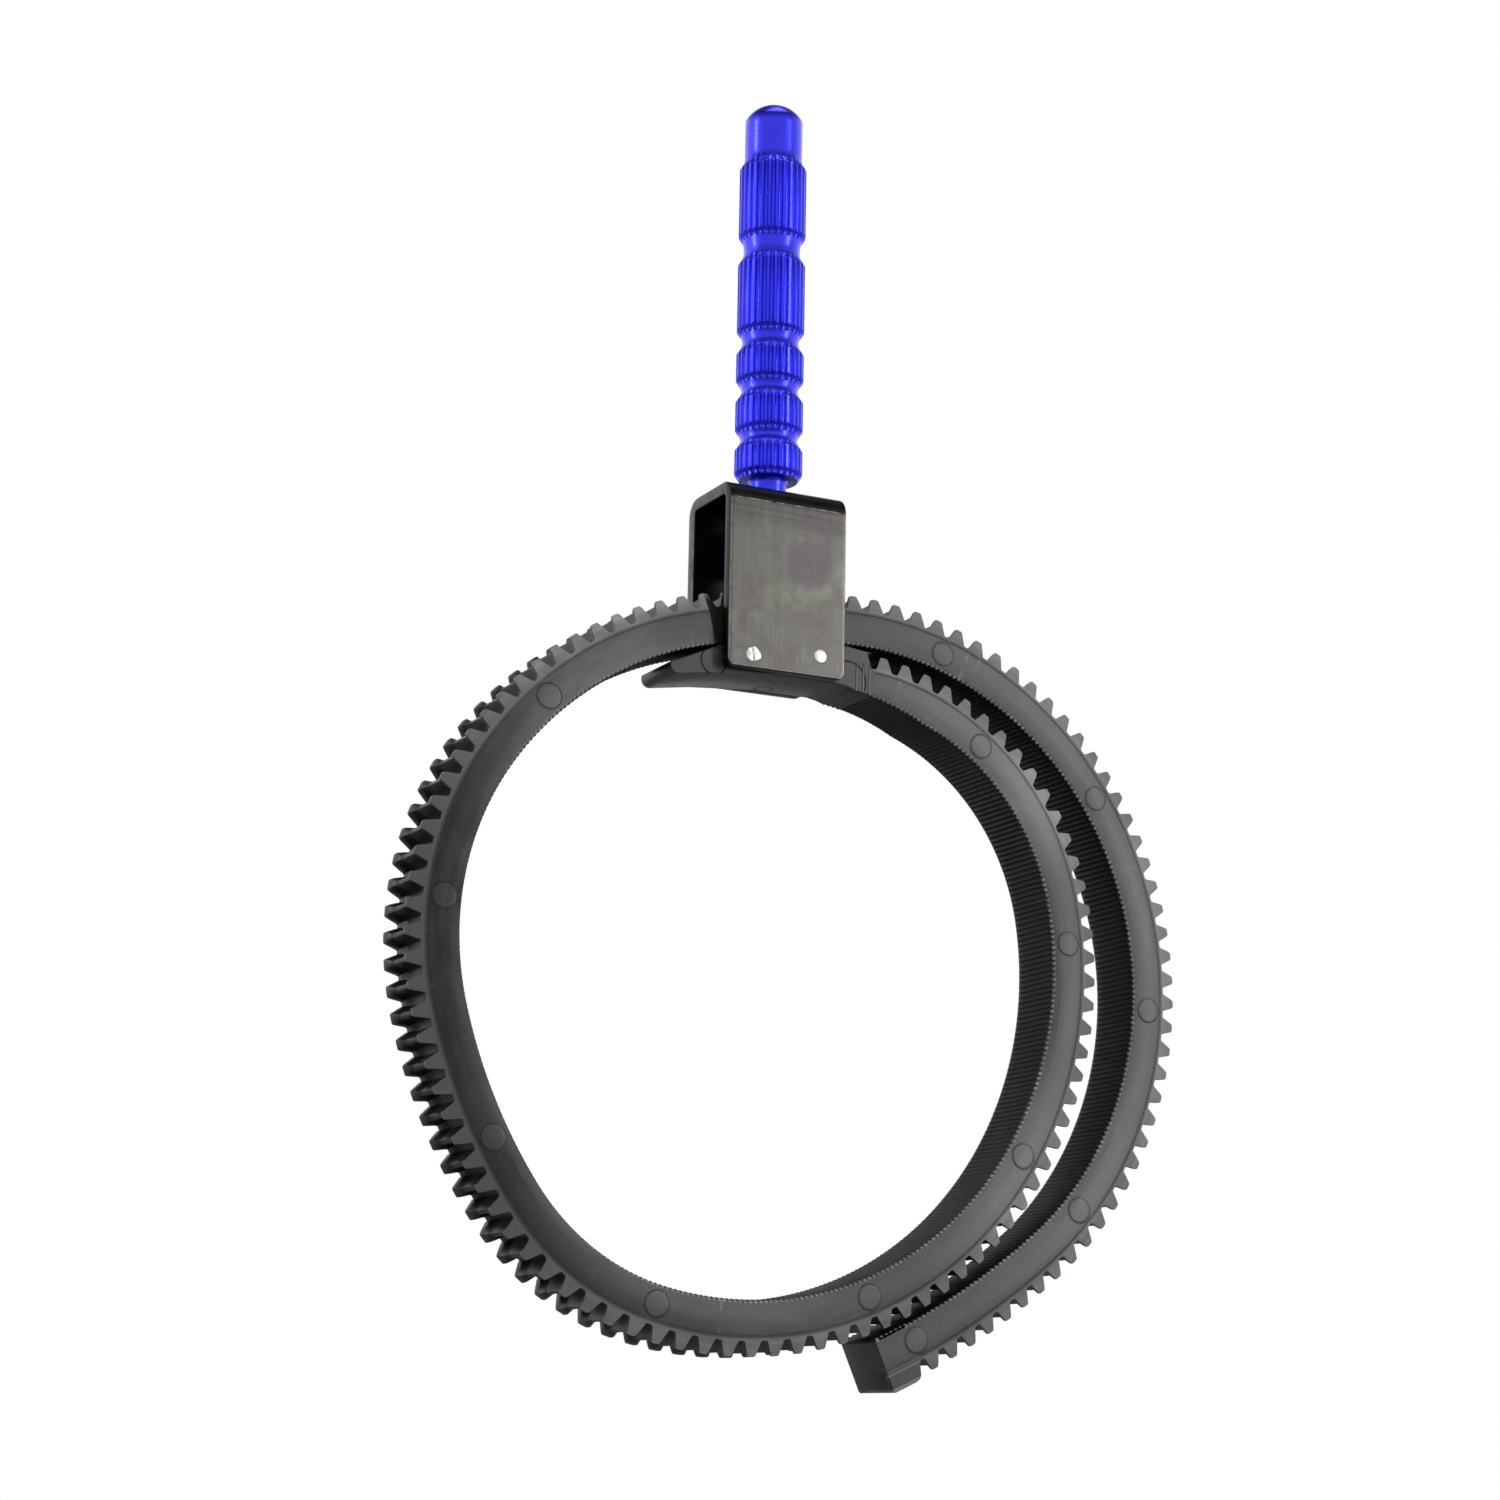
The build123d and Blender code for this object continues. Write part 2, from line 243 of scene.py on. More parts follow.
def newGroup(name, inputs, outputs):
    group = bpy.data.node_groups.new(name, "ShaderNodeTree")
    for label, kind, value in inputs:
        socket = group.interface.new_socket(label, in_out="INPUT", socket_type="NodeSocket" + kind)
        if value is not None:
            socket.default_value = value
    for label in outputs:
        group.interface.new_socket(label, in_out="OUTPUT", socket_type="NodeSocketFloat")
    return group, addNode(group, "NodeGroupInput").outputs, addNode(group, "NodeGroupOutput").inputs


def streakGroup():
    # soft streaks stretched along one direction, for flow marks and brushing
    group, given, out = newGroup("streaks", [
        ("Place", "Vector", None), ("Stretch", "Vector", (1, 1, 1)), ("Detail", "Float", 4.0),
        ("Low", "Float", 0.35), ("High", "Float", 0.7)], ["Mask"])
    stretched = vectorCalc("MULTIPLY", given["Place"], given["Stretch"])
    cloud = noiseAt(stretched, 1.0, given["Detail"], 0.6)
    feed(out["Mask"], spread(cloud, given["Low"], given["High"], smooth=True))
    return group


def scratchGroup():
    # thin lines in four directions, kept where a coarse cloud allows them
    group, given, out = newGroup("scratches", [
        ("Place", "Vector", None), ("Scale", "Float", 300.0), ("Thinness", "Float", 0.03),
        ("Cover", "Float", 0.5)], ["Mask"])
    scale = given["Scale"]
    bend = noiseAt(given["Place"], times(scale, 0.35), out="Color")
    bent = vectorCalc("ADD", given["Place"], vectorCalc("SCALE", bend, Scale=0.002))
    lines = []
    for turn in (0.3, 1.2, 2.0, 2.7):
        settings = {"Vector": bent, "Rotation": (0.2, turn, 0.1), "Scale": (1.0, 1.0, 0.07)}
        along = addNode(group, "ShaderNodeMapping", settings).outputs[0]
        line = noiseAt(along, times(scale, 1.0 + 0.3 * turn), 1.0)
        lines.append(spread(offBy(line, 0.5), given["Thinness"], 0.0))
    kept = spread(noiseAt(given["Place"], times(scale, 0.8)), given["Cover"], 0.72)
    feed(out["Mask"], times(most(*lines), kept))
    return group


def grainGroup():
    # the fine unevenness of a moulded or blasted surface
    group, given, out = newGroup("grain", [
        ("Place", "Vector", None), ("Scale", "Float", 2500.0), ("Detail", "Float", 3.0)], ["Height"])
    feed(out["Height"], noiseAt(given["Place"], given["Scale"], given["Detail"]))
    return group


def markGroup():
    # round ejector marks along the belt's side: a dark ring round a plain disc
    group, given, out = newGroup("ejectorMarks", [
        ("Place", "Vector", None), ("Spacing", "Float", 0.02513), ("Radius", "Float", 0.0016),
        ("Line", "Float", 0.00012), ("Side", "Float", -0.0036)], ["Ring", "Disc"])
    x, y, z = axesOf(given["Place"])
    count = calc("ROUND", calc("DIVIDE", x, given["Spacing"]))
    along = minus(x, times(count, given["Spacing"]))
    away = calc("SQRT", plus(calc("POWER", along, 2.0), calc("POWER", z, 2.0)))
    onSide = calc("LESS_THAN", y, given["Side"])
    fromRing = offBy(away, given["Radius"])
    ring = spread(fromRing, given["Line"], times(given["Line"], 0.4))
    feed(out["Ring"], times(ring, onSide))
    feed(out["Disc"], times(calc("LESS_THAN", away, given["Radius"]), onSide))
    return group


streaks = streakGroup()
scratches = scratchGroup()
grain = grainGroup()
ejectorMarks = markGroup()


def useGroup(group, place, **values):
    return addNode(treeOf(place), "ShaderNodeGroup", {"Place": place, **values}, node_tree=group).outputs


def streaked(place, stretch, detail, low, high):
    return useGroup(streaks, place, Stretch=stretch, Detail=detail, Low=low, High=high)["Mask"]


def scratched(place, scale, thinness, cover):
    return useGroup(scratches, place, Scale=scale, Thinness=thinness, Cover=cover)["Mask"]


def grained(place, scale, detail):
    return useGroup(grain, place, Scale=scale, Detail=detail)["Height"]


def newMaterial(name):
    material = bpy.data.materials.new(name)
    material.use_nodes = True
    tree = material.node_tree
    place = addNode(tree, "ShaderNodeTexCoord").outputs["Object"]
    return material, tree.nodes["Principled BSDF"], place


def mixColor(amount, first, second):
    inputs = {"Factor": amount, 6: first, 7: second}
    return addNode(treeOf(amount), "ShaderNodeMix", inputs, data_type="RGBA").outputs[2]


def bump(height, distance, strength=1.0, normal=None):
    inputs = {"Strength": strength, "Distance": distance, "Height": height, "Normal": normal}
    return addNode(treeOf(height), "ShaderNodeBump", inputs).outputs["Normal"]


def paint(shader, color, rough, normal, metallic=None, **others):
    values = {"Base Color": color, "Roughness": rough, "Normal": normal, "Metallic": metallic, **others}
    for label, value in values.items():
        feed(shader.inputs[label], value)


# the belt is a dark grey moulded elastomer
beltFinish = {
    # the pocket, rib and dark tones are painted shade, the pale patch tone a painted sheen, the rubbed tones
    # wear with painted highlight, the groove tone also a painted shadow
    "side": (0.029, 0.022, 0.031, 1), "sideLight": (0.060, 0.051, 0.062, 1),
    "pocketShade": (0.014, 0.013, 0.012, 1),
    "rubbed": (0.235, 0.23, 0.215, 1), "ribs": (0.006, 0.005, 0.006, 1), "worn": (0.34, 0.335, 0.33, 1),
    "grooveAndShadow": (0.003, 0.003, 0.003, 1), "roughLow": 0.34, "roughHigh": 0.44, "markRadius": 0.00140,
    "paintedSheen": (0.165, 0.152, 0.165, 1), "dark": (0.006, 0.005, 0.006, 1), "legShade": 1.2,
    "rubbedInSheen": (0.44, 0.43, 0.405, 1), "rubbedInShade": (0.085, 0.08, 0.076, 1),
    "crest": 1.36,  # height over the valleys above which the teeth are painted lighter, as wear and painted highlight
    "creases": (-4.6, 91.3, 91.9, 50.6, 103.6, 37.2),  # faint lines across the side, in teeth
    "patches": [  # (middle and reach in teeth, strength) of stretches with painted sheen and, below nought, painted shade
        (-2, 6, 0.45), (3.5, 4.5, 0.95), (21, 7, 0.75), (36, 8, 0.28), (50, 11, -0.75), (61, 10, -0.8),
        (73, 8, 0.68), (95, 9, 0.15), (106, 9, 0.25), (119, 9, 0.5),
    ],
}
headFinish = {  # round marks: middle, radius and half width of the line
    "rings": [((8.2, -3.75, 33.4), 2.2, 0.13), ((-7.9, -3.75, 33.6), 1.5, 0.13),
              ((1.1, 2.5, 32.95), 0.95, 0.3)],
    "ridges": [9.3, 10.1, 10.9], "ridgeHeights": (31.6, 35.6), "ribsFrom": 8.2, "noseShade": -12.88,
}


def beltDetail(place, tone, color, rough, normal):
    # on the belt laid out straight: painted sheen and shade patches, tooth ends rubbed and painted lit, ribs
    # painted in shade, the near leg's painted shadow, marks and creases
    b = beltFinish
    along, sideways, outward = axesOf(place)
    across = absolute(sideways)
    half = beltSizes["width"] / 2
    below, draft = toothEnds["below"], toothEnds["draft"]
    over = minus(outward, halfBase * mm)  # height over the valleys between the teeth
    teeth = spread(over, -(below + 0.01) * mm, -(below - 0.03) * mm)
    onSide = times(spread(across, (half - 0.13) * mm, (half - 0.04) * mm), minus(1.0, teeth))
    offSide = minus(1.0, onSide)
    # painted sheen and painted shade, in broad stretches along the belt
    paintedLight = []
    for middle, reach, strength in b["patches"]:
        away = offBy(along, middle * beltPitch * mm)
        paintedLight.append(spread(away, reach * beltPitch * mm, 0.0, 0.0, strength, smooth=True))
    paintedLight = times(plus(*paintedLight), spread(tone, 0.1, 0.9, 0.6, 1.25))
    paintedShade = times(paintedLight, -1.0)
    color = mixColor(most(paintedLight, 0.0), color, b["paintedSheen"])
    color = mixColor(most(paintedShade, 0.0), color, b["dark"])
    legX = crossingTooth(-bracketSizes["width"] / 2) * beltPitch  # the near leg's painted shadow on the belt beside it
    shadeX = legX - b["legShade"]
    leg = times(spread(along, (shadeX - 0.1) * mm, shadeX * mm),
                spread(along, (legX + 2) * mm, (legX + 1) * mm), spread(sideways, -0.0030, -0.0034))
    # painted shade in the hollows between the teeth
    pocketShade = times(spread(over, -0.00052, -0.0004), spread(offSide, 0.0, 0.5))
    color = mixColor(pocketShade, color, b["pocketShade"])
    # the sloping tooth ends, the ledge and the crests painted paler, as wear and painted highlight, lit and
    # shaded with the patches
    lean = minus((half - draft * below) * mm, times(over, draft))
    facet = spread(offBy(across, lean), 0.00007, 0.00003)
    ledge = times(spread(absolute(over), 0.0001, 0.00005),
                  spread(across, (half - 0.60) * mm, (half - 0.45) * mm))
    crest = times(spread(over, b["crest"] * mm, (b["crest"] + 0.12) * mm),
                  spread(sideways, 0.0020, 0.0012, 0.2, 1.0))
    rubbedAndLitTooth = times(most(facet, ledge, crest), teeth,
                        spread(over, -0.0005, 0.0, 0.15, 1.0, smooth=True))
    rubbedColor = mixColor(times(paintedLight, 0.9), b["rubbed"], b["rubbedInSheen"])
    rubbedColor = mixColor(times(paintedShade, 0.9), rubbedColor, b["rubbedInShade"])
    color = mixColor(times(rubbedAndLitTooth, spread(tone, 0.0, 1.0, 0.55, 1.0)), color, rubbedColor)
    # the ribbed underside painted near black, as shade
    shadedUnderside = times(spread(outward, -0.0016, -0.0018), offSide)
    color = mixColor(shadedUnderside, color, b["ribs"])
    wobble = noiseAt(place, 900.0, 3.0)
    broken = spread(wobble, 0.42, 0.66)
    fromPhase = minus(along, beltSizes["toothPhase"] * beltPitch * mm)
    phase = calc("FRACT", calc("DIVIDE", fromPhase, beltPitch / beltSizes["ribsPerTooth"] * mm))
    ribTip = spread(offBy(phase, 0.53), 0.34, 0.18)
    wear = times(spread(outward, -0.00166, -0.00174), spread(across, 0.00340, 0.00350), ribTip,
                 spread(broken, 0.0, 1.0, 0.5, 1.0), spread(paintedLight, -0.4, 0.1, 0.15, 1.0))
    color = mixColor(wear, color, b["worn"])
    # painted shadow of the near leg, in the groove tone
    color = mixColor(times(leg, 0.97), color, b["grooveAndShadow"])
    rough = plus(rough, times(rubbedAndLitTooth, 0.14), times(shadedUnderside, 0.12), times(leg, 0.3))
    crown = times(calc("POWER", calc("DIVIDE", outward, 0.0021), 2.0), onSide)
    normal = bump(times(crown, -1.0), 0.00016, 1.0, normal)
    marks = useGroup(ejectorMarks, place, Radius=b["markRadius"])
    # the ejector discs a little paler, in the painted sheen colour
    color = mixColor(times(marks["Disc"], 0.16), color, b["paintedSheen"])
    wavy = plus(along, times(wobble, 0.0005))
    creases = [spread(offBy(wavy, tooth * beltPitch * mm), 0.00025, 0.00004) for tooth in b["creases"]]
    color = mixColor(times(most(*creases), broken, onSide, 0.30), color, b["worn"])
    color = mixColor(times(marks["Ring"], 0.95), color, b["grooveAndShadow"])
    # the painted shade also lowers the specular level
    dull = plus(times(shadedUnderside, 0.28), times(most(paintedShade, leg), 0.26))
    return color, rough, normal, calc("SUBTRACT", 0.5, dull, clamp=True)


def headDetail(place, tone, color, rough, normal):
    # on the moulded head: round marks, three ridges, and painted shade on its ribbed end and its nose
    h = headFinish
    x, y, z = axesOf(place)
    front = spread(y, -0.00362, -0.00370)
    rings = []
    for middle, radius, reach in h["rings"]:
        away = vectorCalc("DISTANCE", place, Vector(middle) * mm, out="Value")
        line = spread(offBy(away, radius * mm), reach * mm, reach * 0.4 * mm)
        rings.append(times(line, front if middle[1] < 0 else minus(1.0, front)))
    rings = most(*rings)
    color = mixColor(times(rings, 0.85), color, beltFinish["grooveAndShadow"])
    low, top = h["ridgeHeights"]
    ridges = [spread(offBy(x, ridge * mm), 0.00016, 0.00005) for ridge in h["ridges"]]
    ridges = times(most(*ridges), front, spread(z, low * mm, (low + 0.5) * mm),
                   spread(z, top * mm, (top - 0.8) * mm))
    color = mixColor(times(ridges, 0.55), color, beltFinish["worn"])
    normal = bump(ridges, 0.0002, 1.0, normal)
    # the ribbed end underneath painted darker, as shade
    ribbed = times(spread(x, h["ribsFrom"] * mm, (h["ribsFrom"] + 0.2) * mm),
                   spread(z, 0.0345, 0.0340), spread(absolute(y), 0.00372, 0.00366))
    color = mixColor(times(ribbed, 0.6), color, beltFinish["ribs"])
    # painted shade over the nose's end
    nose = spread(x, h["noseShade"] * mm, (h["noseShade"] - 0.05) * mm)
    color = mixColor(times(nose, 0.85), color, beltFinish["dark"])
    return color, rough, normal, spread(rings, 0.0, 1.0, 0.5, 0.06)


def beltMaterial(name, detail):
    material, shader, place = newMaterial(name)
    if detail is beltDetail:
        named = addNode(material.node_tree, "ShaderNodeAttribute", attribute_name="beltPlace")
        place = named.outputs["Vector"]
    flow = streaked(place, (60, 200, 900), 3.0, 0.36, 0.70)
    cloud = streaked(place, (150, 150, 260), 3.0, 0.3, 0.75)
    tone = plus(times(flow, 0.45), times(cloud, 0.55))
    color = mixColor(tone, beltFinish["side"], beltFinish["sideLight"])
    rough = spread(tone, 0.0, 1.0, beltFinish["roughLow"], beltFinish["roughHigh"])
    fine = grained(place, 3800.0, 3.0)
    normal = bump(plus(times(fine, 0.25), times(flow, 0.3)), 0.00004, 0.8)
    color, rough, normal, specular = detail(place, tone, color, rough, normal)
    scuff = scratched(place, 420.0, 0.012, 0.54)
    color = mixColor(times(scuff, 0.07), color, beltFinish["worn"])
    paint(shader, color, rough, normal, **{"Specular IOR Level": specular})
    return material


# the belt's section, its teeth and its route
beltSizes = {
    "module": 0.8, "width": 7.5, "base": 4.15, "neutral": 0.6, "toothPhase": 0.04,
    "ribsPerTooth": 4, "ribHeight": 0.2,
    "firstTooth": -6, "loopEnd": 84, "tailStart": 87, "lastGap": 130, "linkTeeth": 8, "endLength": 4.5,
    "teethPerMark": 10, "teethBefore": 7.03,  # pitches between the route's start and the first ejector mark
}
toothProfile = [  # distance from the tooth's middle and height at its ends, then the same half way along it
    (0.0, 1.63, 0.0, 1.22), (0.24, 1.63, 0.13, 1.22), (0.35, 1.59, 0.20, 1.20), (0.42, 1.47, 0.25, 1.09),
    (0.58, 1.02, 0.38, 0.66), (0.74, 0.54, 0.53, 0.18), (0.86, 0.20, 0.68, -0.22), (0.96, 0.04, 0.86, -0.44),
    (1.2566, 0.0, 1.2566, -0.48),
]
toothEnds = {
    "draft": 0.28, "below": 0.5,  # the ends lean in this much a millimetre, from this far under the valleys
    "heights": [-0.86, -0.64, -0.5, -0.38, -0.2, 0.02, 0.3, 0.6, 0.9, 1.15, 1.4, 1.63],
    "inside": [-3.05, -2.92, -2.8, -2.68, -2.55, -2.4, -2.1, -1.2, 0.6, 1.2, 1.5, 1.8, 2.1, 2.4, 3.0],
    "valleyRim": 0.42, "flankRim": 1.1, "rimWidth": 0.32,  # how far in the hollows between the teeth begin
    "farRim": 2.3, "farWidth": 0.8, "farSwell": 0.14,
}
beltPitch = math.pi * beltSizes["module"]
halfBase = beltSizes["base"] / 2
routeSizes = {
    "exit": (8.65, 33.2, 1.0),  # x, z and slope in degrees where the belt leaves the head
    "arcs": [(26.9, 81.5), (39.1, 113.3), (26.8, 40.3), (54.8, 20.9)],  # radius, clockwise turn
    "crest": (38.735, 7.4, 95.0, 8.0),  # height over the origin, slope, radius, half length
    "tail": [(36.9, 143.397), (86.461, 90.0)],
}


def arcEnd(start, radius, turn):
    x, z, heading = start
    centreX = x + radius * math.sin(heading)
    centreZ = z - radius * math.cos(heading)
    heading -= turn
    return (centreX - radius * math.sin(heading), centreZ + radius * math.cos(heading), heading)


def arcThrough(start, x, z):
    chordX, chordZ = x - start[0], z - start[1]
    halfTurn = (start[2] - math.atan2(chordZ, chordX)) % (2 * math.pi)
    return math.hypot(chordX, chordZ) / (2 * math.sin(halfTurn)), 2 * halfTurn


def joiningArcs(start, end):
    # two arcs of equal tangent length between two places on the route
    gapX, gapZ = end[0] - start[0], end[1] - start[1]
    sumX = math.cos(start[2]) + math.cos(end[2])
    sumZ = math.sin(start[2]) + math.sin(end[2])
    bulge = 2 * (1 - math.cos(start[2] - end[2]))
    along = gapX * sumX + gapZ * sumZ
    tangent = (math.sqrt(along**2 + bulge * (gapX**2 + gapZ**2)) - along) / bulge
    middleX = (start[0] + end[0] + tangent * (math.cos(start[2]) - math.cos(end[2]))) / 2
    middleZ = (start[1] + end[1] + tangent * (math.sin(start[2]) - math.sin(end[2]))) / 2
    first = arcThrough(start, middleX, middleZ)
    return [first, arcThrough(arcEnd(start, *first), end[0], end[1])]


def beltRoute():
    exitX, exitZ, slope = routeSizes["exit"]
    place = (exitX, exitZ, math.radians(slope))
    crestZ, crestSlope, crestRadius, crestHalf = routeSizes["crest"]
    crestStart = arcEnd((0, crestZ, math.radians(crestSlope)), crestRadius, -crestHalf / crestRadius)
    arcs = [(radius, math.radians(turn)) for radius, turn in routeSizes["arcs"]]
    loopEnd = place
    for radius, turn in arcs:
        loopEnd = arcEnd(loopEnd, radius, turn)
    arcs += joiningArcs(loopEnd, crestStart)
    arcs.append((crestRadius, 2 * crestHalf / crestRadius))
    arcs += [(radius, math.radians(turn)) for radius, turn in routeSizes["tail"]]
    route = []
    for radius, turn in arcs:
        route.append((place, radius, turn))
        place = arcEnd(place, radius, turn)
    return route


route = beltRoute()


def placeAt(tooth):
    left = (tooth + beltSizes["teethBefore"]) * beltPitch
    for start, radius, turn in route:
        neutralRadius = radius + beltSizes["neutral"]
        if left <= turn * neutralRadius:
            break
        left -= turn * neutralRadius
    return arcEnd(start, radius, left / neutralRadius)


def beside(tooth, offset):
    # a point beside the route's middle line, offset outwards, as (x, z) in millimetres
    x, z, heading = placeAt(tooth)
    return (x - offset * math.sin(heading), z + offset * math.cos(heading))


def crossingTooth(x):
    # the tooth number at this x where the belt crosses over its own head
    tooth = 76.0
    while placeAt(tooth)[0] < x:
        tooth += 0.01
    return tooth


def routeCurve():
    # the neutral line as a fine open curve, eight points a tooth
    stepsPerTooth = 8
    first = -beltSizes["teethBefore"]
    count = int((beltSizes["lastGap"] + 4 - first) * stepsPerTooth)
    curve = bpy.data.curves.new("beltRoute", "CURVE")
    curve.dimensions = "3D"
    spline = curve.splines.new("POLY")
    spline.points.add(count)
    for i in range(count + 1):
        x, z = beside(first + i / stepsPerTooth, beltSizes["neutral"])
        spline.points[i].co = (x * mm, 0, z * mm, 1)
    return plainObject("beltRoute", curve)


def eased(share):
    share = max(0.0, min(1.0, share))
    return share * share * (3 - 2 * share)


def toothColumns():
    # (place across the belt, highest that the sloping end allows there) from the near side to the far one
    e = toothEnds
    half = beltSizes["width"] / 2
    near = [(-half + max(0.0, e["below"] + height) * e["draft"], height) for height in e["heights"]]
    return near + [(y, 9.0) for y in e["inside"]] + [(-y, height) for y, height in reversed(near)]


def columnAcross(y, limit):
    # (distance from the tooth's middle, height) along one column, cut off flat where the end slopes
    e = toothEnds
    rows = []
    for away, high, waistAway, waistHigh in toothProfile:
        rim = e["valleyRim"] + (e["flankRim"] - e["valleyRim"]) * math.sqrt(max(0, 1 - 2 * away / beltPitch))
        inset = beltSizes["width"] / 2 + y - rim
        waist = eased(inset / e["rimWidth"]) * eased((e["farRim"] - y) / e["farWidth"])
        swell = e["farSwell"] * eased((y - 1.9) / 0.6) if away < 0.9 else 0
        rows.append((away + (waistAway - away) * waist + swell, high + (waistHigh - high) * waist))
    rows[0] = (0.0, rows[0][1])
    over = len([1 for away, high in rows if high > limit])
    if over in (0, len(rows)):
        return [(away, min(high, limit)) for away, high in rows]
    (near, high), (far, low) = rows[over - 1], rows[over]
    cut = near + (far - near) * (high - limit) / (high - low)
    flat = [(cut * i / (over - 1) if over > 1 else cut, limit) for i in range(over)]
    return flat + rows[over:]


def ribStations():
    ribPitch = beltPitch / beltSizes["ribsPerTooth"]
    profile = [(0.0, 0.0), (0.1, 0.0), (0.46, 1.0), (0.60, 1.0), (0.92, 0.0)]  # shares of pitch and height
    stations = []
    for rib in range(beltSizes["ribsPerTooth"]):
        stations += [((rib + share) * ribPitch, crest * beltSizes["ribHeight"]) for share, crest in profile]
    return stations + [(beltPitch, 0.0)]


def toothCell():
    # one tooth's length of straight belt, from gap to gap and open at both ends
    half = beltSizes["width"] / 2
    points = []
    middle = beltPitch / 2
    columns = toothColumns()
    for y, limit in columns:
        rows = columnAcross(y, limit)
        line = [(-away, high) for away, high in reversed(rows)] + rows[1:]
        points += [((middle + away) * mm, y * mm, (halfBase + high) * mm) for away, high in line]
    long = 2 * len(toothProfile) - 1
    faces = bandFaces(len(columns), long, wrap=False)
    bottom = ribStations()
    wide = len(bottom)
    first = len(points)
    # (place across the belt, lift at the rounded edge, share of the ribs' height)
    ribColumns = [(-half, 0.26, 0.0), (-half, 0.12, 0.0), (-half + 0.06, 0.03, 0.12),
                  (-half + 0.3, 0.0, 0.4), (-half + 0.75, 0.0, 1.0)]
    ribColumns += [(-y, lift, share) for y, lift, share in reversed(ribColumns)]
    base = halfBase - beltSizes["ribHeight"]
    for y, lift, share in ribColumns:
        points += [(x * mm, y * mm, -(base + crest * share - lift) * mm) for x, crest in bottom]
    faces += bandFaces(len(ribColumns), wide, start=first, wrap=False, flip=True)
    ends = [(0, first), (long * (len(columns) - 1), first + wide * (len(ribColumns) - 1))]
    for topStart, ribStart in ends:
        over = list(range(topStart, topStart + long))
        faces.append(over + list(range(ribStart, ribStart + wide))[::-1])
    return plainObject("toothCell", meshFrom("toothCell", points, faces))


def endBlock():
    # the full-height block at the belt's free end, as straight belt
    left = (beltSizes["lastGap"] + beltSizes["toothPhase"]) * beltPitch
    right = left + beltSizes["endLength"]
    middle = left + beltPitch / 2
    top = halfBase + toothProfile[0][1] + 0.2
    outline = [(middle - row[0], halfBase + row[1]) for row in reversed(toothProfile[3:])]
    outline += [(middle - 0.1, top - 0.1), (middle + 0.35, top), (right - 0.35, top),
                (right - 0.1, top - 0.08), (right, top - 0.3), (right, -halfBase + 0.15)]
    ribs = [(left + x, -(halfBase - beltSizes["ribHeight"] + crest)) for x, crest in ribStations()]
    under = [(x, z) for x, z in ribs + [(x + beltPitch, z) for x, z in ribs[1:]] if x < right - 0.1]
    points, faces = roundedSlab(outline + under[::-1], beltSizes["width"] / 2, 0.1, asBuilt)
    return plainObject("endBlock", meshFrom("endBlock", points, faces))


def asBuilt(a, b, depth):
    return (a * mm, depth * mm, b * mm)


discSizes = {  # the low round boss that each ejector pin leaves, as (radius, height over the belt's side)
    "rings": [(1.42, -0.08), (1.36, 0.005), (1.30, 0.03), (1.18, 0.05), (1.08, 0.052)], "segments": 40,
}


def ejectorDisc():
    rings, segments = discSizes["rings"], discSizes["segments"]
    points = []
    for radius, rise in rings:
        for k in range(segments):
            a, b, c = turned(radius, 2 * math.pi * k / segments, -(beltSizes["width"] / 2 + rise))
            points.append((a, c, b))
    faces = endFaces(segments, len(points)) + bandFaces(len(rings), segments)
    return plainObject("ejectorDisc", meshFrom("ejectorDisc", points, faces))


def newGeometryTree(name, inputs):
    tree = bpy.data.node_groups.new(name, "GeometryNodeTree")
    tree.is_modifier = True
    for label, kind in [("Geometry", "Geometry"), *inputs]:
        tree.interface.new_socket(label, in_out="INPUT", socket_type="NodeSocket" + kind)
    tree.interface.new_socket("Geometry", in_out="OUTPUT", socket_type="NodeSocketGeometry")
    return tree, addNode(tree, "NodeGroupInput").outputs, addNode(tree, "NodeGroupOutput").inputs


def shapeOf(given):
    return addNode(treeOf(given), "GeometryNodeObjectInfo", {"Object": given}).outputs["Geometry"]


def copiesInRow(piece, count, start, step, rotation=None):
    # real copies of one piece on an even row of points
    ends = {"Count": count, "Start Location": start, "Offset": step}
    tree = treeOf(piece)
    row = addNode(tree, "GeometryNodeMeshLine", ends, mode="OFFSET").outputs["Mesh"]
    inputs = {"Points": row, "Instance": shapeOf(piece), "Rotation": rotation}
    placed = addNode(tree, "GeometryNodeInstanceOnPoints", inputs).outputs["Instances"]
    return addNode(tree, "GeometryNodeRealizeInstances", {"Geometry": placed}).outputs["Geometry"]


def merged(geometry):
    inputs = {"Geometry": geometry, "Distance": 0.002 * mm}
    return addNode(treeOf(geometry), "GeometryNodeMergeByDistance", inputs).outputs["Geometry"]


def painted(geometry, finish):
    inputs = {"Geometry": geometry, "Material": finish}
    return addNode(treeOf(geometry), "GeometryNodeSetMaterial", inputs).outputs["Geometry"]


def alongAxis(axis, value):
    return addNode(treeOf(value), "ShaderNodeCombineXYZ", {axis: value}).outputs[0]


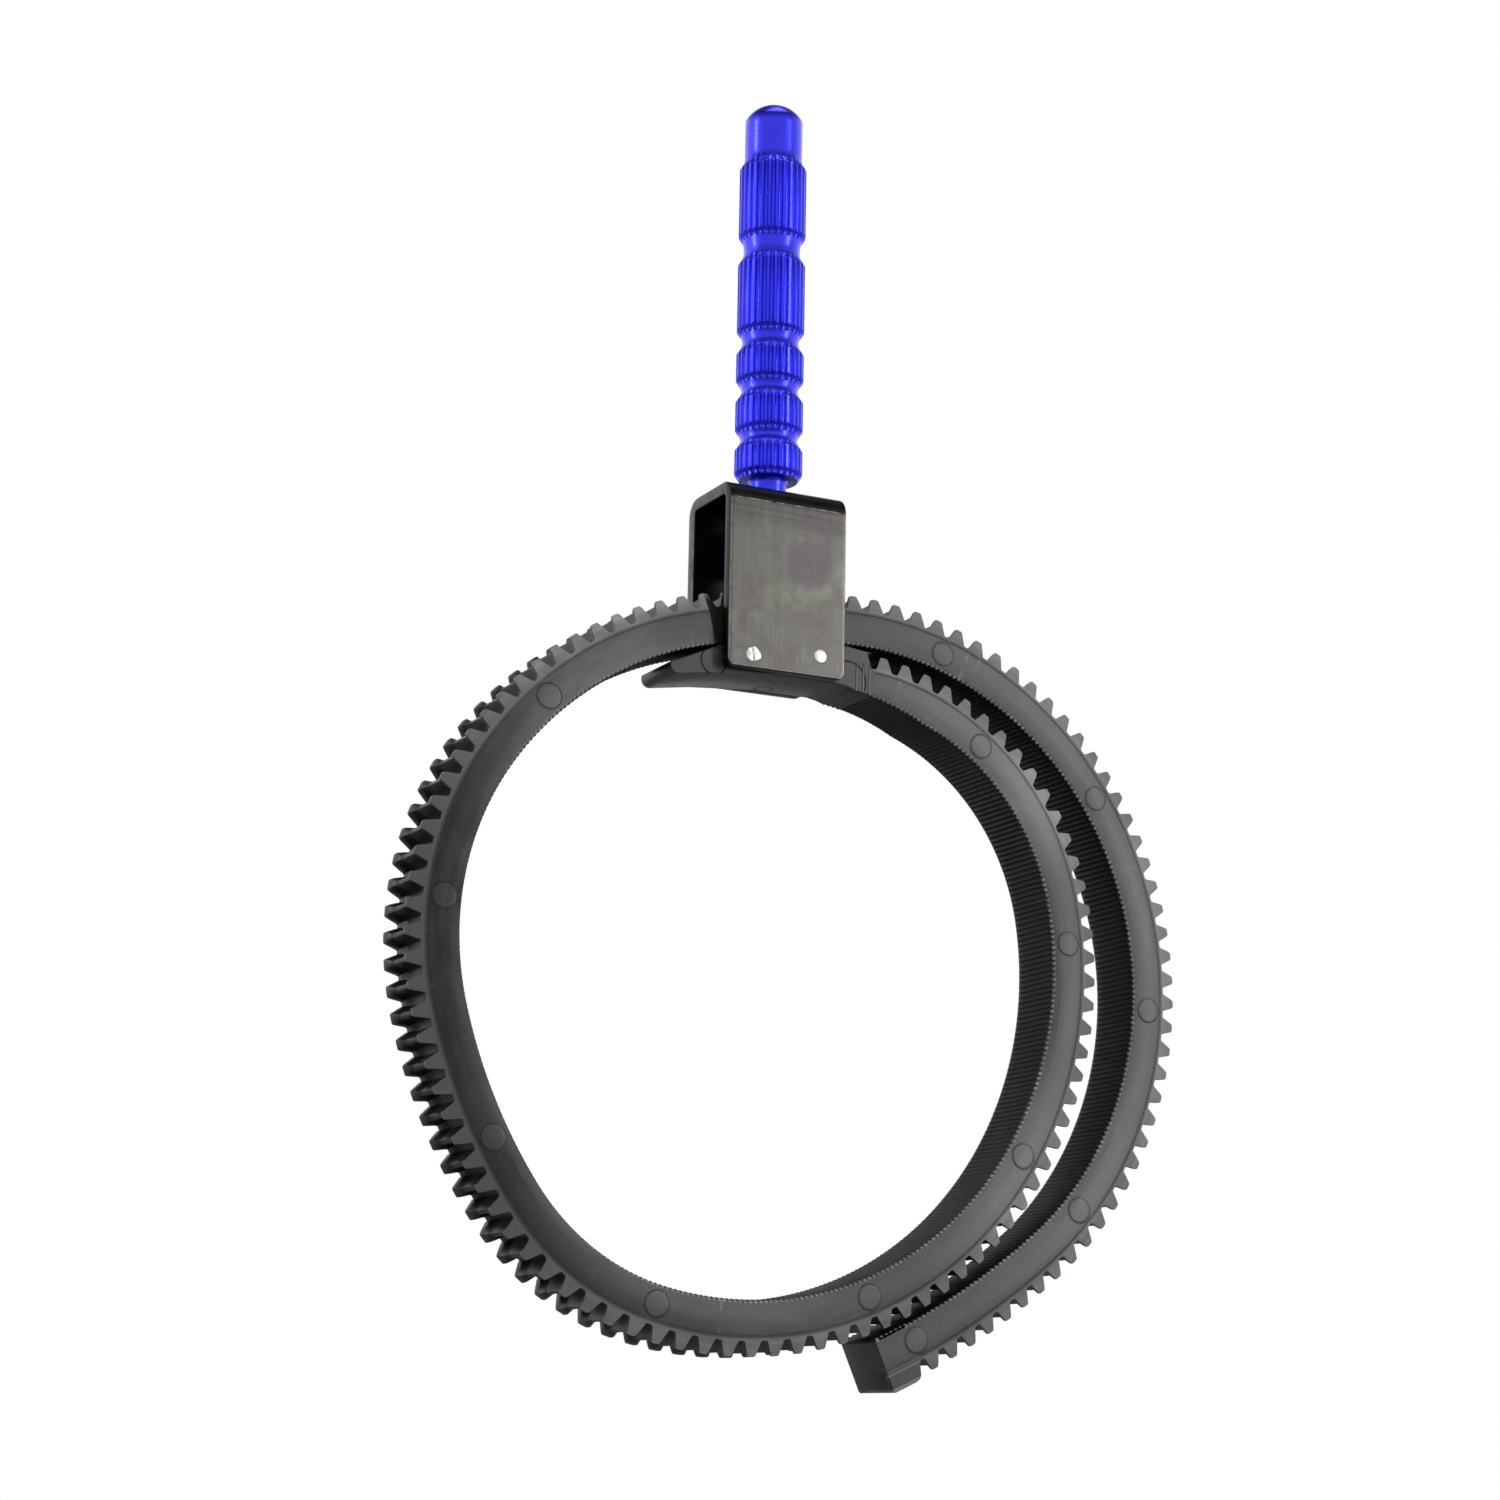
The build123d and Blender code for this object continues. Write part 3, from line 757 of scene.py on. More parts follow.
def beltTree():
    # rows of cells laid straight, thinned at the neck, then carried on to the route
    inputs = [(label, "Object") for label in ("Cell", "End", "Mark", "Route")] + [("Finish", "Material")]
    inputs += [(label, "Int") for label in ("Teeth", "Marks")]
    inputs += [(label, "Float") for label in (
        "First Mark", "Mark Spacing", "First Tooth", "Pitch", "Route Start", "Neutral",
        "Neck From", "Neck To", "Neck Share")]
    tree, given, out = newGeometryTree("beltStretch", inputs)
    start = alongAxis("X", times(given["First Tooth"], given["Pitch"]))
    teeth = copiesInRow(given["Cell"], given["Teeth"], start, alongAxis("X", given["Pitch"]))
    marks = copiesInRow(given["Mark"], given["Marks"], alongAxis("X", given["First Mark"]),
                        alongAxis("X", given["Mark Spacing"]))
    joined = addNode(tree, "GeometryNodeJoinGeometry")
    for piece in (merged(teeth), shapeOf(given["End"]), marks):
        tree.links.new(piece, joined.inputs[0])

    place = addNode(tree, "GeometryNodeInputPosition").outputs[0]
    stored = {"Geometry": joined.outputs[0], "Name": "beltPlace", "Value": place}
    kept = addNode(tree, "GeometryNodeStoreNamedAttribute", stored, data_type="FLOAT_VECTOR", domain="POINT")
    along, across, outward = axesOf(place)
    share = spread(along, given["Neck From"], given["Neck To"], given["Neck Share"], 1.0)
    below = calc("LESS_THAN", outward, 0.0)
    thinned = times(outward, plus(times(share, below), minus(1.0, below)))
    sample = addNode(tree, "GeometryNodeSampleCurve", {
        "Curves": shapeOf(given["Route"]), "Length": plus(along, given["Route Start"])},
        mode="LENGTH", use_all_curves=True)
    normal = vectorCalc("NORMALIZE", vectorCalc("CROSS_PRODUCT", sample.outputs["Tangent"], (0, 1, 0)))
    shift = vectorCalc("SCALE", normal, Scale=minus(thinned, given["Neutral"]))
    carried = vectorCalc("ADD", vectorCalc("ADD", sample.outputs["Position"], shift),
                         alongAxis("Y", across))
    placed = {"Geometry": kept.outputs["Geometry"], "Position": carried}
    bent = addNode(tree, "GeometryNodeSetPosition", placed)
    whole = addNode(tree, "GeometryNodeRealizeInstances", {"Geometry": bent.outputs["Geometry"]})
    feed(out[0], painted(whole.outputs["Geometry"], given["Finish"]))
    return tree


def treeCarrier(name, tree, values):
    carrier = plainObject(name, bpy.data.meshes.new(name))
    modifier = carrier.modifiers.new("made", "NODES")
    modifier.node_group = tree
    for item in tree.interface.items_tree:
        if item.in_out == "INPUT" and item.name in values:
            modifier[item.identifier] = values[item.name]
    return carrier


neck = {"from": -7.03, "to": -3.0, "share": 0.356}  # the strip thins towards the head, in teeth

bracketSizes = {
    "sheet": 1.4, "width": 14.0, "foot": 33.0, "height": 20.6, "bend": 2.0, "halfGap": 3.85, "edge": 0.16,
    "footCorner": 0.8, "pinRadius": 0.8, "pinHole": 0.82, "pinX": 4.0, "pinZ": (34.45, 35.28),
    "pinProud": 0.06, "bushHole": 2.92,
}

beltGrey = beltMaterial("beltGrey", beltDetail)
headGrey = beltMaterial("headGrey", headDetail)
cell = toothCell()
block = endBlock()
disc = ejectorDisc()
line = routeCurve()
stretchTree = beltTree()


def beltStretch(name, firstTooth, lastTooth, withEnd=False):
    every = beltSizes["teethPerMark"]
    firstMark = math.ceil(firstTooth / every) * every
    marks = len(range(firstMark, lastTooth + (1 if withEnd else 0), every))
    carrier = treeCarrier(name + "Carrier", stretchTree, {
        "Cell": cell, "End": block if withEnd else None, "Route": line, "Finish": beltGrey,
        "Mark": disc, "Marks": marks, "First Mark": firstMark * beltPitch * mm,
        "Mark Spacing": every * beltPitch * mm,
        "Teeth": lastTooth - firstTooth, "First Tooth": firstTooth + beltSizes["toothPhase"],
        "Pitch": beltPitch * mm,
        "Route Start": beltSizes["teethBefore"] * beltPitch * mm, "Neutral": beltSizes["neutral"] * mm,
        "Neck From": neck["from"] * beltPitch * mm, "Neck To": neck["to"] * beltPitch * mm,
        "Neck Share": neck["share"],
    })
    return finished(name, carrier, beltGrey)


loop = beltStretch("beltLoop", beltSizes["firstTooth"], beltSizes["loopEnd"])
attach(loop, "clamp")
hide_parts("gear_belt")
print("belt loop", len(loop.data.polygons), "faces")

tailCuts = [beltSizes["loopEnd"], 91, 99, 107, 115, 123, beltSizes["lastGap"]]
bendReach = 3.5  # teeth either side of a hinge over which the belt bends
for index in range(6):
    firstTooth, lastTooth = tailCuts[index], tailCuts[index + 1]
    joint = beltSizes["tailStart"] + index * beltSizes["linkTeeth"]
    piece = beltStretch(f"beltTail{index + 1}", firstTooth, lastTooth, withEnd=index == 5)
    bendFrom = beside(max(joint - bendReach, firstTooth + 1), 0)
    bendTo = beside(min(joint + bendReach, lastTooth), 0)
    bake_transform(piece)
    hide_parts(f"belt_tail_{index + 1}")
for used in (cell, block, disc, line):
    bpy.data.objects.remove(used)

# the belt's moulded head, inside the bracket
headSizes = {
    "underside": 32.95, "noseX": -12.95, "noseDrop": 1.35, "noseHeight": 1.25, "noseRound": 0.9,
    "legX": 7.0, "landing": 0.64, "restGap": 0.03, "gapTop": (11.2, 36.9), "edge": 0.12,
    "crestFrom": -7.88, "sideGap": 0.004,
    "lap": 0.08,  # the head runs this far into the loop's first tooth, so that no seam shows
}


def headOutline():
    h = headSizes
    crestRadius, crestHalf = routeSizes["crest"][2:]
    noseZ = h["underside"] - h["noseDrop"]
    outline = []
    for i in range(6):  # rounded lower corner of the nose
        turn = math.radians(90 * i / 5)
        outline.append((h["noseX"] + h["noseRound"] * (1 - math.sin(turn)),
                        noseZ + h["noseRound"] * (1 - math.cos(turn))))
    outline.append((h["noseX"], noseZ + h["noseHeight"]))
    crestTeeth = 2 * crestHalf / beltPitch * (crestRadius + beltSizes["neutral"]) / crestRadius
    crestStart = crossingTooth(h["crestFrom"])
    outline += [beside(crestStart + crestTeeth * i / 8, -halfBase - h["restGap"]) for i in range(9)]
    outline.append(h["gapTop"])
    first = beltSizes["firstTooth"] + beltSizes["toothPhase"]
    outline += [beside(first - 0.5 + row[0] / beltPitch, halfBase + row[1]) for row in toothProfile[3:]]

    def neckShare(tooth):
        along = max(0, tooth - neck["from"]) / (neck["to"] - neck["from"])
        return neck["share"] + (1 - neck["share"]) * along

    base = halfBase - beltSizes["ribHeight"]
    outline.append(beside(first + h["lap"], halfBase - 0.5))
    outline.append(beside(first + h["lap"], -base * neckShare(first)))
    ribs = [(x, crest) for x, crest in ribStations() if x > 0.01][:-1]
    for x, crest in reversed(ribs):
        tooth = first - 1 + x / beltPitch
        outline.append(beside(tooth, -(base + crest) * neckShare(tooth)))
    outline += [(h["legX"] + 1.2, h["underside"] - 0.22), (h["legX"], h["underside"]), (0.0, h["underside"]),
                (-h["legX"] - 0.4, h["underside"] - h["landing"])]
    return outline


halfHead = beltSizes["width"] / 2 - headSizes["sideGap"]
points, faces = roundedSlab(headOutline(), halfHead, headSizes["edge"], asBuilt)
head = solidPiece("beltHead", points, faces, headGrey)
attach(head, "clamp")
print("belt head made")

# the bracket is bent sheet steel, blackened
bracketTones = {
    "black": (0.012, 0.011, 0.012, 1), "grey": (0.104, 0.096, 0.096, 1), "olive": (0.168, 0.170, 0.136, 1),
    "plum": (0.098, 0.088, 0.096, 1), "speck": (0.035, 0.034, 0.030, 1), "bright": (0.50, 0.49, 0.44, 1),
    "cut": (0.17, 0.165, 0.155, 1), "bendStart": 51.55,
    "smear": {"middle": (-0.5, 41.0), "slope": 0.42, "reach": 2.6},  # a diagonal band made paler
    "smooth": {"middle": (2.6, 45.2), "reach": 3.4},  # an oval tinted plum
    "brushed": 50.2,  # height from which fine lines run across
}


def bracketMaterial():
    # black oxide, mottled grey on the flat fronts of the legs, partly as rubbed wear and partly as painted
    # reflection
    material, shader, place = newMaterial("blackSteel")
    t, b = bracketTones, bracketSizes
    face = b["halfGap"] + b["sheet"]
    halfWide = b["width"] / 2
    brushed = streaked(place, (1100, 900, 60), 5.0, 0.3, 0.75)
    cloud = streaked(place, (230, 230, 210), 3.0, 0.35, 0.65)
    speck = streaked(place, (2200, 2200, 2200), 3.0, 0.52, 0.75)
    thin = scratched(place, 520.0, 0.014, 0.46)
    swirl = scratched(place, 1300.0, 0.03, 0.42)
    worn = calc("ADD", times(thin, 0.7), times(swirl, 0.35), clamp=True)
    broken = spread(noiseAt(place, 1300.0), 0.28, 0.62)
    x, y, high = axesOf(place)
    wide = absolute(x)
    smearX, smearZ = t["smear"]["middle"]
    rise = times(minus(x, smearX * mm), t["smear"]["slope"])
    tilted = minus(minus(high, smearZ * mm), rise)
    band = spread(absolute(tilted), t["smear"]["reach"] * mm, 0.0, smooth=True)
    color = mixColor(times(spread(band, 0.0, 1.0, 0.35, 1.0), cloud), t["grey"], t["olive"])
    ovalX, ovalZ = t["smooth"]["middle"]
    fromOval = vectorCalc("DISTANCE", place, (ovalX * mm, -face * mm, ovalZ * mm), out="Value")
    reach = t["smooth"]["reach"] * mm
    color = mixColor(spread(fromOval, reach, reach * 0.6, 0.0, 0.85, smooth=True), color, t["plum"])
    color = mixColor(times(brushed, 0.12), color, t["speck"])
    color = mixColor(times(speck, 0.18), color, t["speck"])
    across = streaked(place, (60, 60, 4200), 4.0, 0.35, 0.6)
    strip = times(spread(high, (t["brushed"] - 2.0) * mm, t["brushed"] * mm),
                  spread(across, 0.0, 1.0, 0.35, 1.0))
    color = mixColor(times(strip, 0.55), color, t["speck"])
    nearPins = spread(high, (b["pinZ"][0] + 4.5) * mm, b["pinZ"][0] * mm, 0.25, 1.0)
    color = mixColor(times(worn, 0.22, nearPins), color, t["bright"])
    # the flat outer faces below the bend take the mottled grey, partly as wear and partly as painted
    # reflection; the bend and inner faces stay black
    outside = spread(absolute(y), (face - 0.10) * mm, (face - 0.03) * mm)
    below = spread(high, t["bendStart"] * mm, (t["bendStart"] - 0.08) * mm)
    color = mixColor(times(outside, below), t["black"], color)
    cutEdge = times(spread(wide, (halfWide - 0.05) * mm, (halfWide - 0.02) * mm),
                    spread(y, -(b["halfGap"] + 0.2) * mm, -b["halfGap"] * mm),
                    spread(cloud, 0.0, 1.0, 0.25, 0.8))
    color = mixColor(cutEdge, color, t["cut"])

    def lineAt(value, middle, reach):
        return spread(offBy(value, middle * mm), reach * mm, reach * 0.4 * mm)

    # light lines along the side edges and the foot are rubbed wear; the line where the bend starts is a
    # painted highlight
    rubbed = most(times(lineAt(wide, halfWide - 0.12, 0.08), below),
                  lineAt(high, b["foot"] + 0.12, 0.08), lineAt(high, t["bendStart"] + 0.05, 0.06))
    color = mixColor(times(rubbed, broken, outside, 0.5), color, t["bright"])
    relief = minus(times(brushed, 0.10), times(worn, 0.3))
    rough = plus(spread(cloud, 0, 1, 0.30, 0.36), times(brushed, 0.06))
    paint(shader, color, rough, bump(relief, 0.00002, 0.6), 0.85)
    return material


def bracketPath():
    # (y, z, direction outwards, distance from the nearer foot) up one leg, over the web and down the other
    b = bracketSizes
    face = b["halfGap"] + b["sheet"]
    top = b["foot"] + b["height"]
    straight = b["height"] - b["bend"]
    risers = [0.0, 0.02, 0.07, 0.15, 0.27, 0.42, 0.62, 0.9, 1.4, straight - 0.4]
    path = [(-face, b["foot"] + rise, math.pi, rise) for rise in risers]
    for i in range(11):
        turn = math.pi / 2 * i / 10
        path.append((-face + b["bend"] * (1 - math.cos(turn)), top - b["bend"] * (1 - math.sin(turn)),
                     math.pi - turn, straight + i))
    path.append((-face + b["bend"] + 0.4, top, math.pi / 2, straight + 11))
    return path + [(-y, z, math.pi - turn, rise) for y, z, turn, rise in reversed(path)]


def bracketMesh():
    b = bracketSizes
    half, sheet, edge, corner = b["width"] / 2, b["sheet"], b["edge"], b["footCorner"]
    points = []
    path = bracketPath()
    for y, z, turn, rise in path:
        narrow = corner - math.sqrt(max(0, corner**2 - max(0, corner - rise)**2))
        inset = edge - math.sqrt(max(0, edge**2 - max(0, edge - rise)**2))
        wide = half - narrow - inset
        ring = []
        for side in (1, -1):
            for step in range(4):
                bend = math.pi / 2 * step / 3
                fromSide, fromFace = edge * (1 - math.sin(bend)), edge * (1 - math.cos(bend))
                across = wide - (fromSide if side > 0 else fromFace)
                depth = fromFace if side > 0 else sheet - fromSide
                ring.append((across, min(sheet - inset, max(inset, depth))))
        ring = [(wide - 0.45, inset)] + ring + [(wide - 0.45, sheet - inset)]
        ring += [(-across, depth) for across, depth in reversed(ring)]
        for across, depth in ring:
            points.append(asBuilt(across, z - math.sin(turn) * depth, y - math.cos(turn) * depth))
    count = len(points) // len(path)
    mesh = meshFrom("bracket", points, bandFaces(len(path), count) + endFaces(count, len(points)))
    closed(mesh)
    return mesh


def cutter(x, z, radius, length, segments, tilt):
    work = bmesh.new()
    bmesh.ops.create_cone(work, cap_ends=True, segments=segments, radius1=radius * mm, radius2=radius * mm,
                          depth=length * mm)
    place = Matrix.Translation((x * mm, 0, z * mm)) @ Matrix.Rotation(tilt, 4, "X")
    bmesh.ops.transform(work, matrix=place, verts=work.verts)
    mesh = bpy.data.meshes.new("cutter")
    work.to_mesh(mesh)
    work.free()
    return plainObject("cutter", mesh)


blackSteel = bracketMaterial()
carrier = plainObject("bracketCarrier", bracketMesh())
bracketTop = bracketSizes["foot"] + bracketSizes["height"]
pinPlaces = list(zip((-bracketSizes["pinX"], bracketSizes["pinX"]), bracketSizes["pinZ"]))
cutters = [cutter(x, z, bracketSizes["pinHole"], length=20, segments=48, tilt=math.pi / 2)
           for x, z in pinPlaces]
cutters.append(cutter(0, bracketTop, bracketSizes["bushHole"], length=8, segments=64, tilt=0))
for tool in cutters:
    hole = carrier.modifiers.new("hole", "BOOLEAN")
    hole.operation = "DIFFERENCE"
    hole.solver = "EXACT"
    hole.object = tool
bracket = finished("bracket", carrier, blackSteel, cutters)
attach(bracket, "clamp")
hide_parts("clamp_bracket")
print("bracket made")


def steelMaterial(name, color, rough):
    material, shader, place = newMaterial(name)
    cloud = streaked(place, (900, 900, 900), 4.0, 0.3, 0.7)
    lines = streaked(place, (120, 120, 5000), 3.0, 0.3, 0.7)
    relief = plus(times(lines, 0.5), times(grained(place, 6000.0, 2.0), 0.3))
    dull = tuple(0.72 * part for part in color[:3]) + (1,)
    clouded = spread(cloud, 0, 1, rough, rough + 0.16)
    paint(shader, mixColor(cloud, color, dull), clouded, bump(relief, 0.00001, 0.5), 1.0)
    return material


steelTones = {"bright": (0.80, 0.79, 0.76, 1), "pale": (0.97, 0.95, 0.85, 1)}
brightSteel = steelMaterial("brightSteel", steelTones["bright"], 0.22)
paleSteel = steelMaterial("paleSteel", steelTones["pale"], 0.38)


def pinPiece(name, x, z, peened, material):
    # a cross pin; a peened one is hammered out of round at its ends
    b = bracketSizes
    end = b["halfGap"] + b["sheet"] + b["pinProud"]
    r = b["pinRadius"]
    rows = [(0.0, end + 0.04), (r - 0.55, end + 0.04), (r - 0.3, end + 0.035), (r - 0.12, end + 0.01),
            (r - 0.03, end - 0.04), (r, end - 0.12)]
    points, faces = lathe([(radius, -height) for radius, height in rows] + rows[::-1], 48)
    placed = []
    for px, py, pz in points:
        swell, dent = 1.0, 0.0
        if peened and abs(pz) > (end - 0.08) * mm:
            swell += 0.10 + 0.16 * noise.noise(Vector((px * 1600, py * 1600, x)))
            dent = 0.10 * mm * noise.noise(Vector((px * 2600, py * 2600, x + 7)))
        depth = pz + (dent if pz > 0 else -dent)
        placed.append((px * swell + x * mm, depth, py * swell + z * mm))
    piece = solidPiece(name, placed, faces, material, 14 if peened else 32)
    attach(piece, "clamp")
    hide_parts("leg_pins")


pinPiece("pinLeft", *pinPlaces[0], True, brightSteel)
pinPiece("pinRight", *pinPlaces[1], False, paleSteel)

# the bush and the pressure foot, inside the bracket, as (radius, height) rows
webUnder = bracketTop - bracketSizes["sheet"]
bushRows = [
    (2.07, bracketTop - 0.15), (2.25, bracketTop), (2.78, bracketTop), (2.9, bracketTop - 0.12),
    (2.9, webUnder), (3.25, webUnder), (3.4, webUnder - 0.15), (3.4, webUnder - 1.42),
    (3.22, webUnder - 1.6), (2.3, webUnder - 1.6), (2.07, webUnder - 1.4),
]
bush = solidPiece("threadBush", *lathe(bushRows, ring=True), brightSteel, 28)
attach(bush, "clamp")
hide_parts("thread_bush")

footLow, footHigh = (corner.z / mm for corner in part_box("pressure_foot"))
footRows = [
    (0.0, footLow), (2.7, footLow), (2.9, footLow + 0.03), (3.27, footLow + 0.4), (3.3, footLow + 0.5),
    (3.3, footLow + 1.05), (3.16, footLow + 1.12), (3.16, footLow + 1.3), (3.3, footLow + 1.37),
    (3.3, footHigh - 0.2), (3.1, footHigh), (1.4, footHigh), (1.28, footHigh - 0.12), (1.28, footHigh - 0.7),
    (1.63, footHigh - 0.7), (1.63, footHigh - 1.7), (0.0, footHigh - 1.7),
]
foot = solidPiece("pressureFoot", *lathe(footRows), brightSteel, 28)
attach(foot, "foot")
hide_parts("pressure_foot")
print("pins, bush and foot made")

# the fluted grip, blue anodised, with its screw end
gripSizes = {
    "bottom": 55.65, "radius": 3.75, "waist": 3.22, "flutes": 28, "fluteRadius": 0.29,
    "sections": [4.05, 4.58, 4.38, 9.15, 9.35], "waists": [1.03, 1.15, 1.34, 2.00],
    "hollow": [(0.08, 0.02), (0.3, 0.10), (0.5, 0.12), (0.7, 0.10), (0.92, 0.02)],  # of each waist
    "chamfer": 0.5, "chamferLength": 0.75, "cap": 5.17, "dome": 1.9, "neck": 2.0,
    "blue": (0.020, 0.021, 0.87, 1), "blueLight": (0.031, 0.032, 0.97, 1),
}


def gripMaterial():
    material, shader, place = newMaterial("blueAnodised")
    lines = streaked(place, (90, 90, 9000), 4.0, 0.3, 0.72)
    cloud = streaked(place, (220, 220, 120), 3.0, 0.3, 0.75)
    relief = plus(times(lines, 0.6), times(grained(place, 7000.0, 2.0), 0.3))
    rough = plus(spread(cloud, 0, 1, 0.24, 0.32), times(lines, 0.08))
    color = mixColor(cloud, gripSizes["blue"], gripSizes["blueLight"])
    coat = {"Coat Weight": 0.6, "Coat Roughness": 0.22}
    paint(shader, color, rough, bump(relief, 0.000012, 0.6), 0.9, **coat)
    return material


def gripRows():
    # (radius, height, share of the flutes' depth) from the neck inside the bush up to the crown
    g = gripSizes
    neckRadius, bottom = g["neck"], g["bottom"]
    rows = [(neckRadius, webUnder, 0), (neckRadius, bottom - 0.55, 0), (neckRadius + 0.05, bottom - 0.25, 0),
            (neckRadius + 0.2, bottom - 0.05, 0), (neckRadius + 0.4, bottom, 0)]
    rim = g["radius"] - g["chamfer"]
    height = bottom
    chamfer = [(rim + g["chamfer"] * step / 6, g["chamferLength"] * step / 6, eased(step / 4))
               for step in range(7)]
    for index, length in enumerate(g["sections"]):
        rows += [(radius, height + rise, share) for radius, rise, share in chamfer]
        rows += [(radius, height + length - rise, share) for radius, rise, share in reversed(chamfer)]
        height += length
        if index < len(g["waists"]):
            long = g["waists"][index]
            for share, dip in g["hollow"]:
                rows.append((g["waist"] - dip + 0.03, height + long * share, 0))
            height += long
    rows += [(g["waist"], height + g["cap"] * step / 6, 0) for step in range(1, 7)]
    crown = height + g["cap"] + g["dome"]
    domeRadius = (g["waist"]**2 + g["dome"]**2) / (2 * g["dome"])
    fullTurn = math.asin(g["waist"] / domeRadius)
    for step in range(1, 13):
        turn = fullTurn * (1 - step / 12)
        rows.append((domeRadius * math.sin(turn), crown - domeRadius * (1 - math.cos(turn)), 0))
    return rows


def gripSector():
    # one flute's share of the grip, from the middle of a land to the next
    g = gripSizes
    edge = math.asin(g["fluteRadius"] / g["radius"])
    halfShare = math.pi / g["flutes"]
    turns = [-halfShare, -(halfShare + edge) / 2]
    turns += [edge * k / 4 for k in range(-4, 5)]
    turns += [(halfShare + edge) / 2, halfShare]
    points = []
    rows = gripRows()
    for radius, height, share in rows:
        for turn in turns:
            cut = radius
            if abs(turn) < edge - 1e-9:
                reach = g["fluteRadius"]**2 - (g["radius"] * math.sin(turn))**2
                cut -= (g["radius"] * (1 - math.cos(turn)) + math.sqrt(reach)) * share
            points.append(turned(cut, turn, height))
    faces = bandFaces(len(rows), len(turns), wrap=False)
    return plainObject("gripSector", meshFrom("gripSector", points, faces))


def roundTree():
    # copies of one sector set round an axis and joined
    inputs = [("Sector", "Object"), ("Finish", "Material"), ("Copies", "Int")]
    tree, given, out = newGeometryTree("roundTheAxis", inputs)
    index = addNode(tree, "GeometryNodeInputIndex").outputs[0]
    turn = calc("DIVIDE", times(index, 2 * math.pi), given["Copies"])
    rotation = addNode(tree, "FunctionNodeEulerToRotation", {0: alongAxis("Z", turn)}).outputs[0]
    sectors = copiesInRow(given["Sector"], given["Copies"], None, (0, 0, 0), rotation)
    feed(out[0], painted(merged(sectors), given["Finish"]))
    return tree


blueAnodised = gripMaterial()
sector = gripSector()
carrier = treeCarrier("gripCarrier", roundTree(), {
    "Sector": sector, "Finish": blueAnodised, "Copies": gripSizes["flutes"]})
grip = finished("gripHandle", carrier, blueAnodised, [sector])
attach(grip, "grip")
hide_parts("grip")
print("grip", len(grip.data.polygons), "faces")

screwSizes = {"outer": 2.0, "inner": 1.65, "pitch": 0.7, "columns": 32, "rowsPerTurn": 8}


def screwThread():
    # the screw from the bush down to the foot's shoulder, with its snap-in tip
    s = screwSizes
    columns = s["columns"]
    top = webUnder + 0.02
    bottom = footHigh + 0.08
    rowCount = int((top - bottom) / s["pitch"] * s["rowsPerTurn"])
    tip = [(0.0, footHigh - 1.52), (1.4, footHigh - 1.52), (1.55, footHigh - 1.4), (1.55, footHigh - 0.62),
           (1.2, footHigh - 0.62), (1.2, bottom), (s["inner"], bottom)]
    points = lathe(tip, columns)[0]
    for i in range(1, rowCount + 1):
        height = bottom + (top - bottom) * i / rowCount
        lead = min(1, i / 6, (rowCount - i) / 3 + 0.2)
        for k in range(columns):
            phase = (height / s["pitch"] - k / columns) % 1
            crest = max(0, min(1, 2.6 * (0.5 - abs(phase - 0.5)) - 0.1))
            radius = s["inner"] + (s["outer"] - s["inner"]) * crest * lead
            points.append(turned(radius, 2 * math.pi * k / columns, height))
    return points, bandFaces(len(tip) + rowCount, columns)


screw = solidPiece("screwEnd", *screwThread(), blueAnodised, 50)
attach(screw, "grip")
print("screw end made")

# floor, light and camera
floorLook = {
    "height": -75.0, "radius": 1300.0, "lit": (0.28, 0.28, 0.28, 1), "seen": (0.86, 0.86, 0.86, 1),
    "whiteFrom": 0.16, "whiteAt": 0.42,  # metres from the middle
}
studio = {
    "fillLow": 0.10, "fillHigh": 0.70, "fillFrom": (0.25, -0.70, 0.60),  # soft light, most from above
    "seenBehind": 1.0, "seenBefore": 0.85, "seenOff": 0.06, "backdrop": (0.44, 0.89, 0.0),  # for gloss
    "gap": {"axis": (0.72, -0.60, 0.36), "inside": 0.992, "outside": 0.970, "dark": 0.85},  # beside the key
    "key": {"place": (0.385, -0.46, 0.13), "size": (0.10, 0.40), "watts": 1.15},
    "left": {"place": (-0.58, 0.12, 0.20), "size": (0.09, 0.36), "watts": 1.1},
    "top": {"place": (0.02, -0.05, 0.62), "size": (0.40, 0.30), "watts": 0.8},
}
frontCamera = {
    "place": (-143.04, -284.3, -46.41), "ahead": (0.43448, 0.8733, 0.22041),
    "up": (-0.11436, -0.18925, 0.97525), "focal": 72.96,
}


def mixShaders(amount, first, second):
    return addNode(treeOf(amount), "ShaderNodeMixShader", {0: amount, 1: first, 2: second}).outputs[0]


def floorMaterial():
    # plain floor near the object, white further off where the camera sees it
    material, shader, place = newMaterial("paleFloor")
    tree = material.node_tree
    shader.inputs["Roughness"].default_value = 0.8
    away = vectorCalc("LENGTH", place, out="Value")
    far = spread(away, floorLook["whiteFrom"], floorLook["whiteAt"], smooth=True)
    seen = addNode(tree, "ShaderNodeLightPath").outputs["Is Camera Ray"]
    feed(shader.inputs["Base Color"], mixColor(seen, floorLook["lit"], floorLook["seen"]))
    white = addNode(tree, "ShaderNodeEmission", {"Strength": 1.0}).outputs[0]
    both = mixShaders(times(far, seen), shader.outputs[0], white)
    feed(tree.nodes["Material Output"].inputs["Surface"], both)
    return material


work = bmesh.new()
bmesh.ops.create_circle(work, cap_ends=True, segments=96, radius=floorLook["radius"] * mm)
floorMesh = bpy.data.meshes.new("floor")
work.to_mesh(floorMesh)
work.free()
floorMesh.transform(Matrix.Translation((0, 0, floorLook["height"] * mm)))
floorMesh.materials.append(floorMaterial())
plainObject("floor", floorMesh)

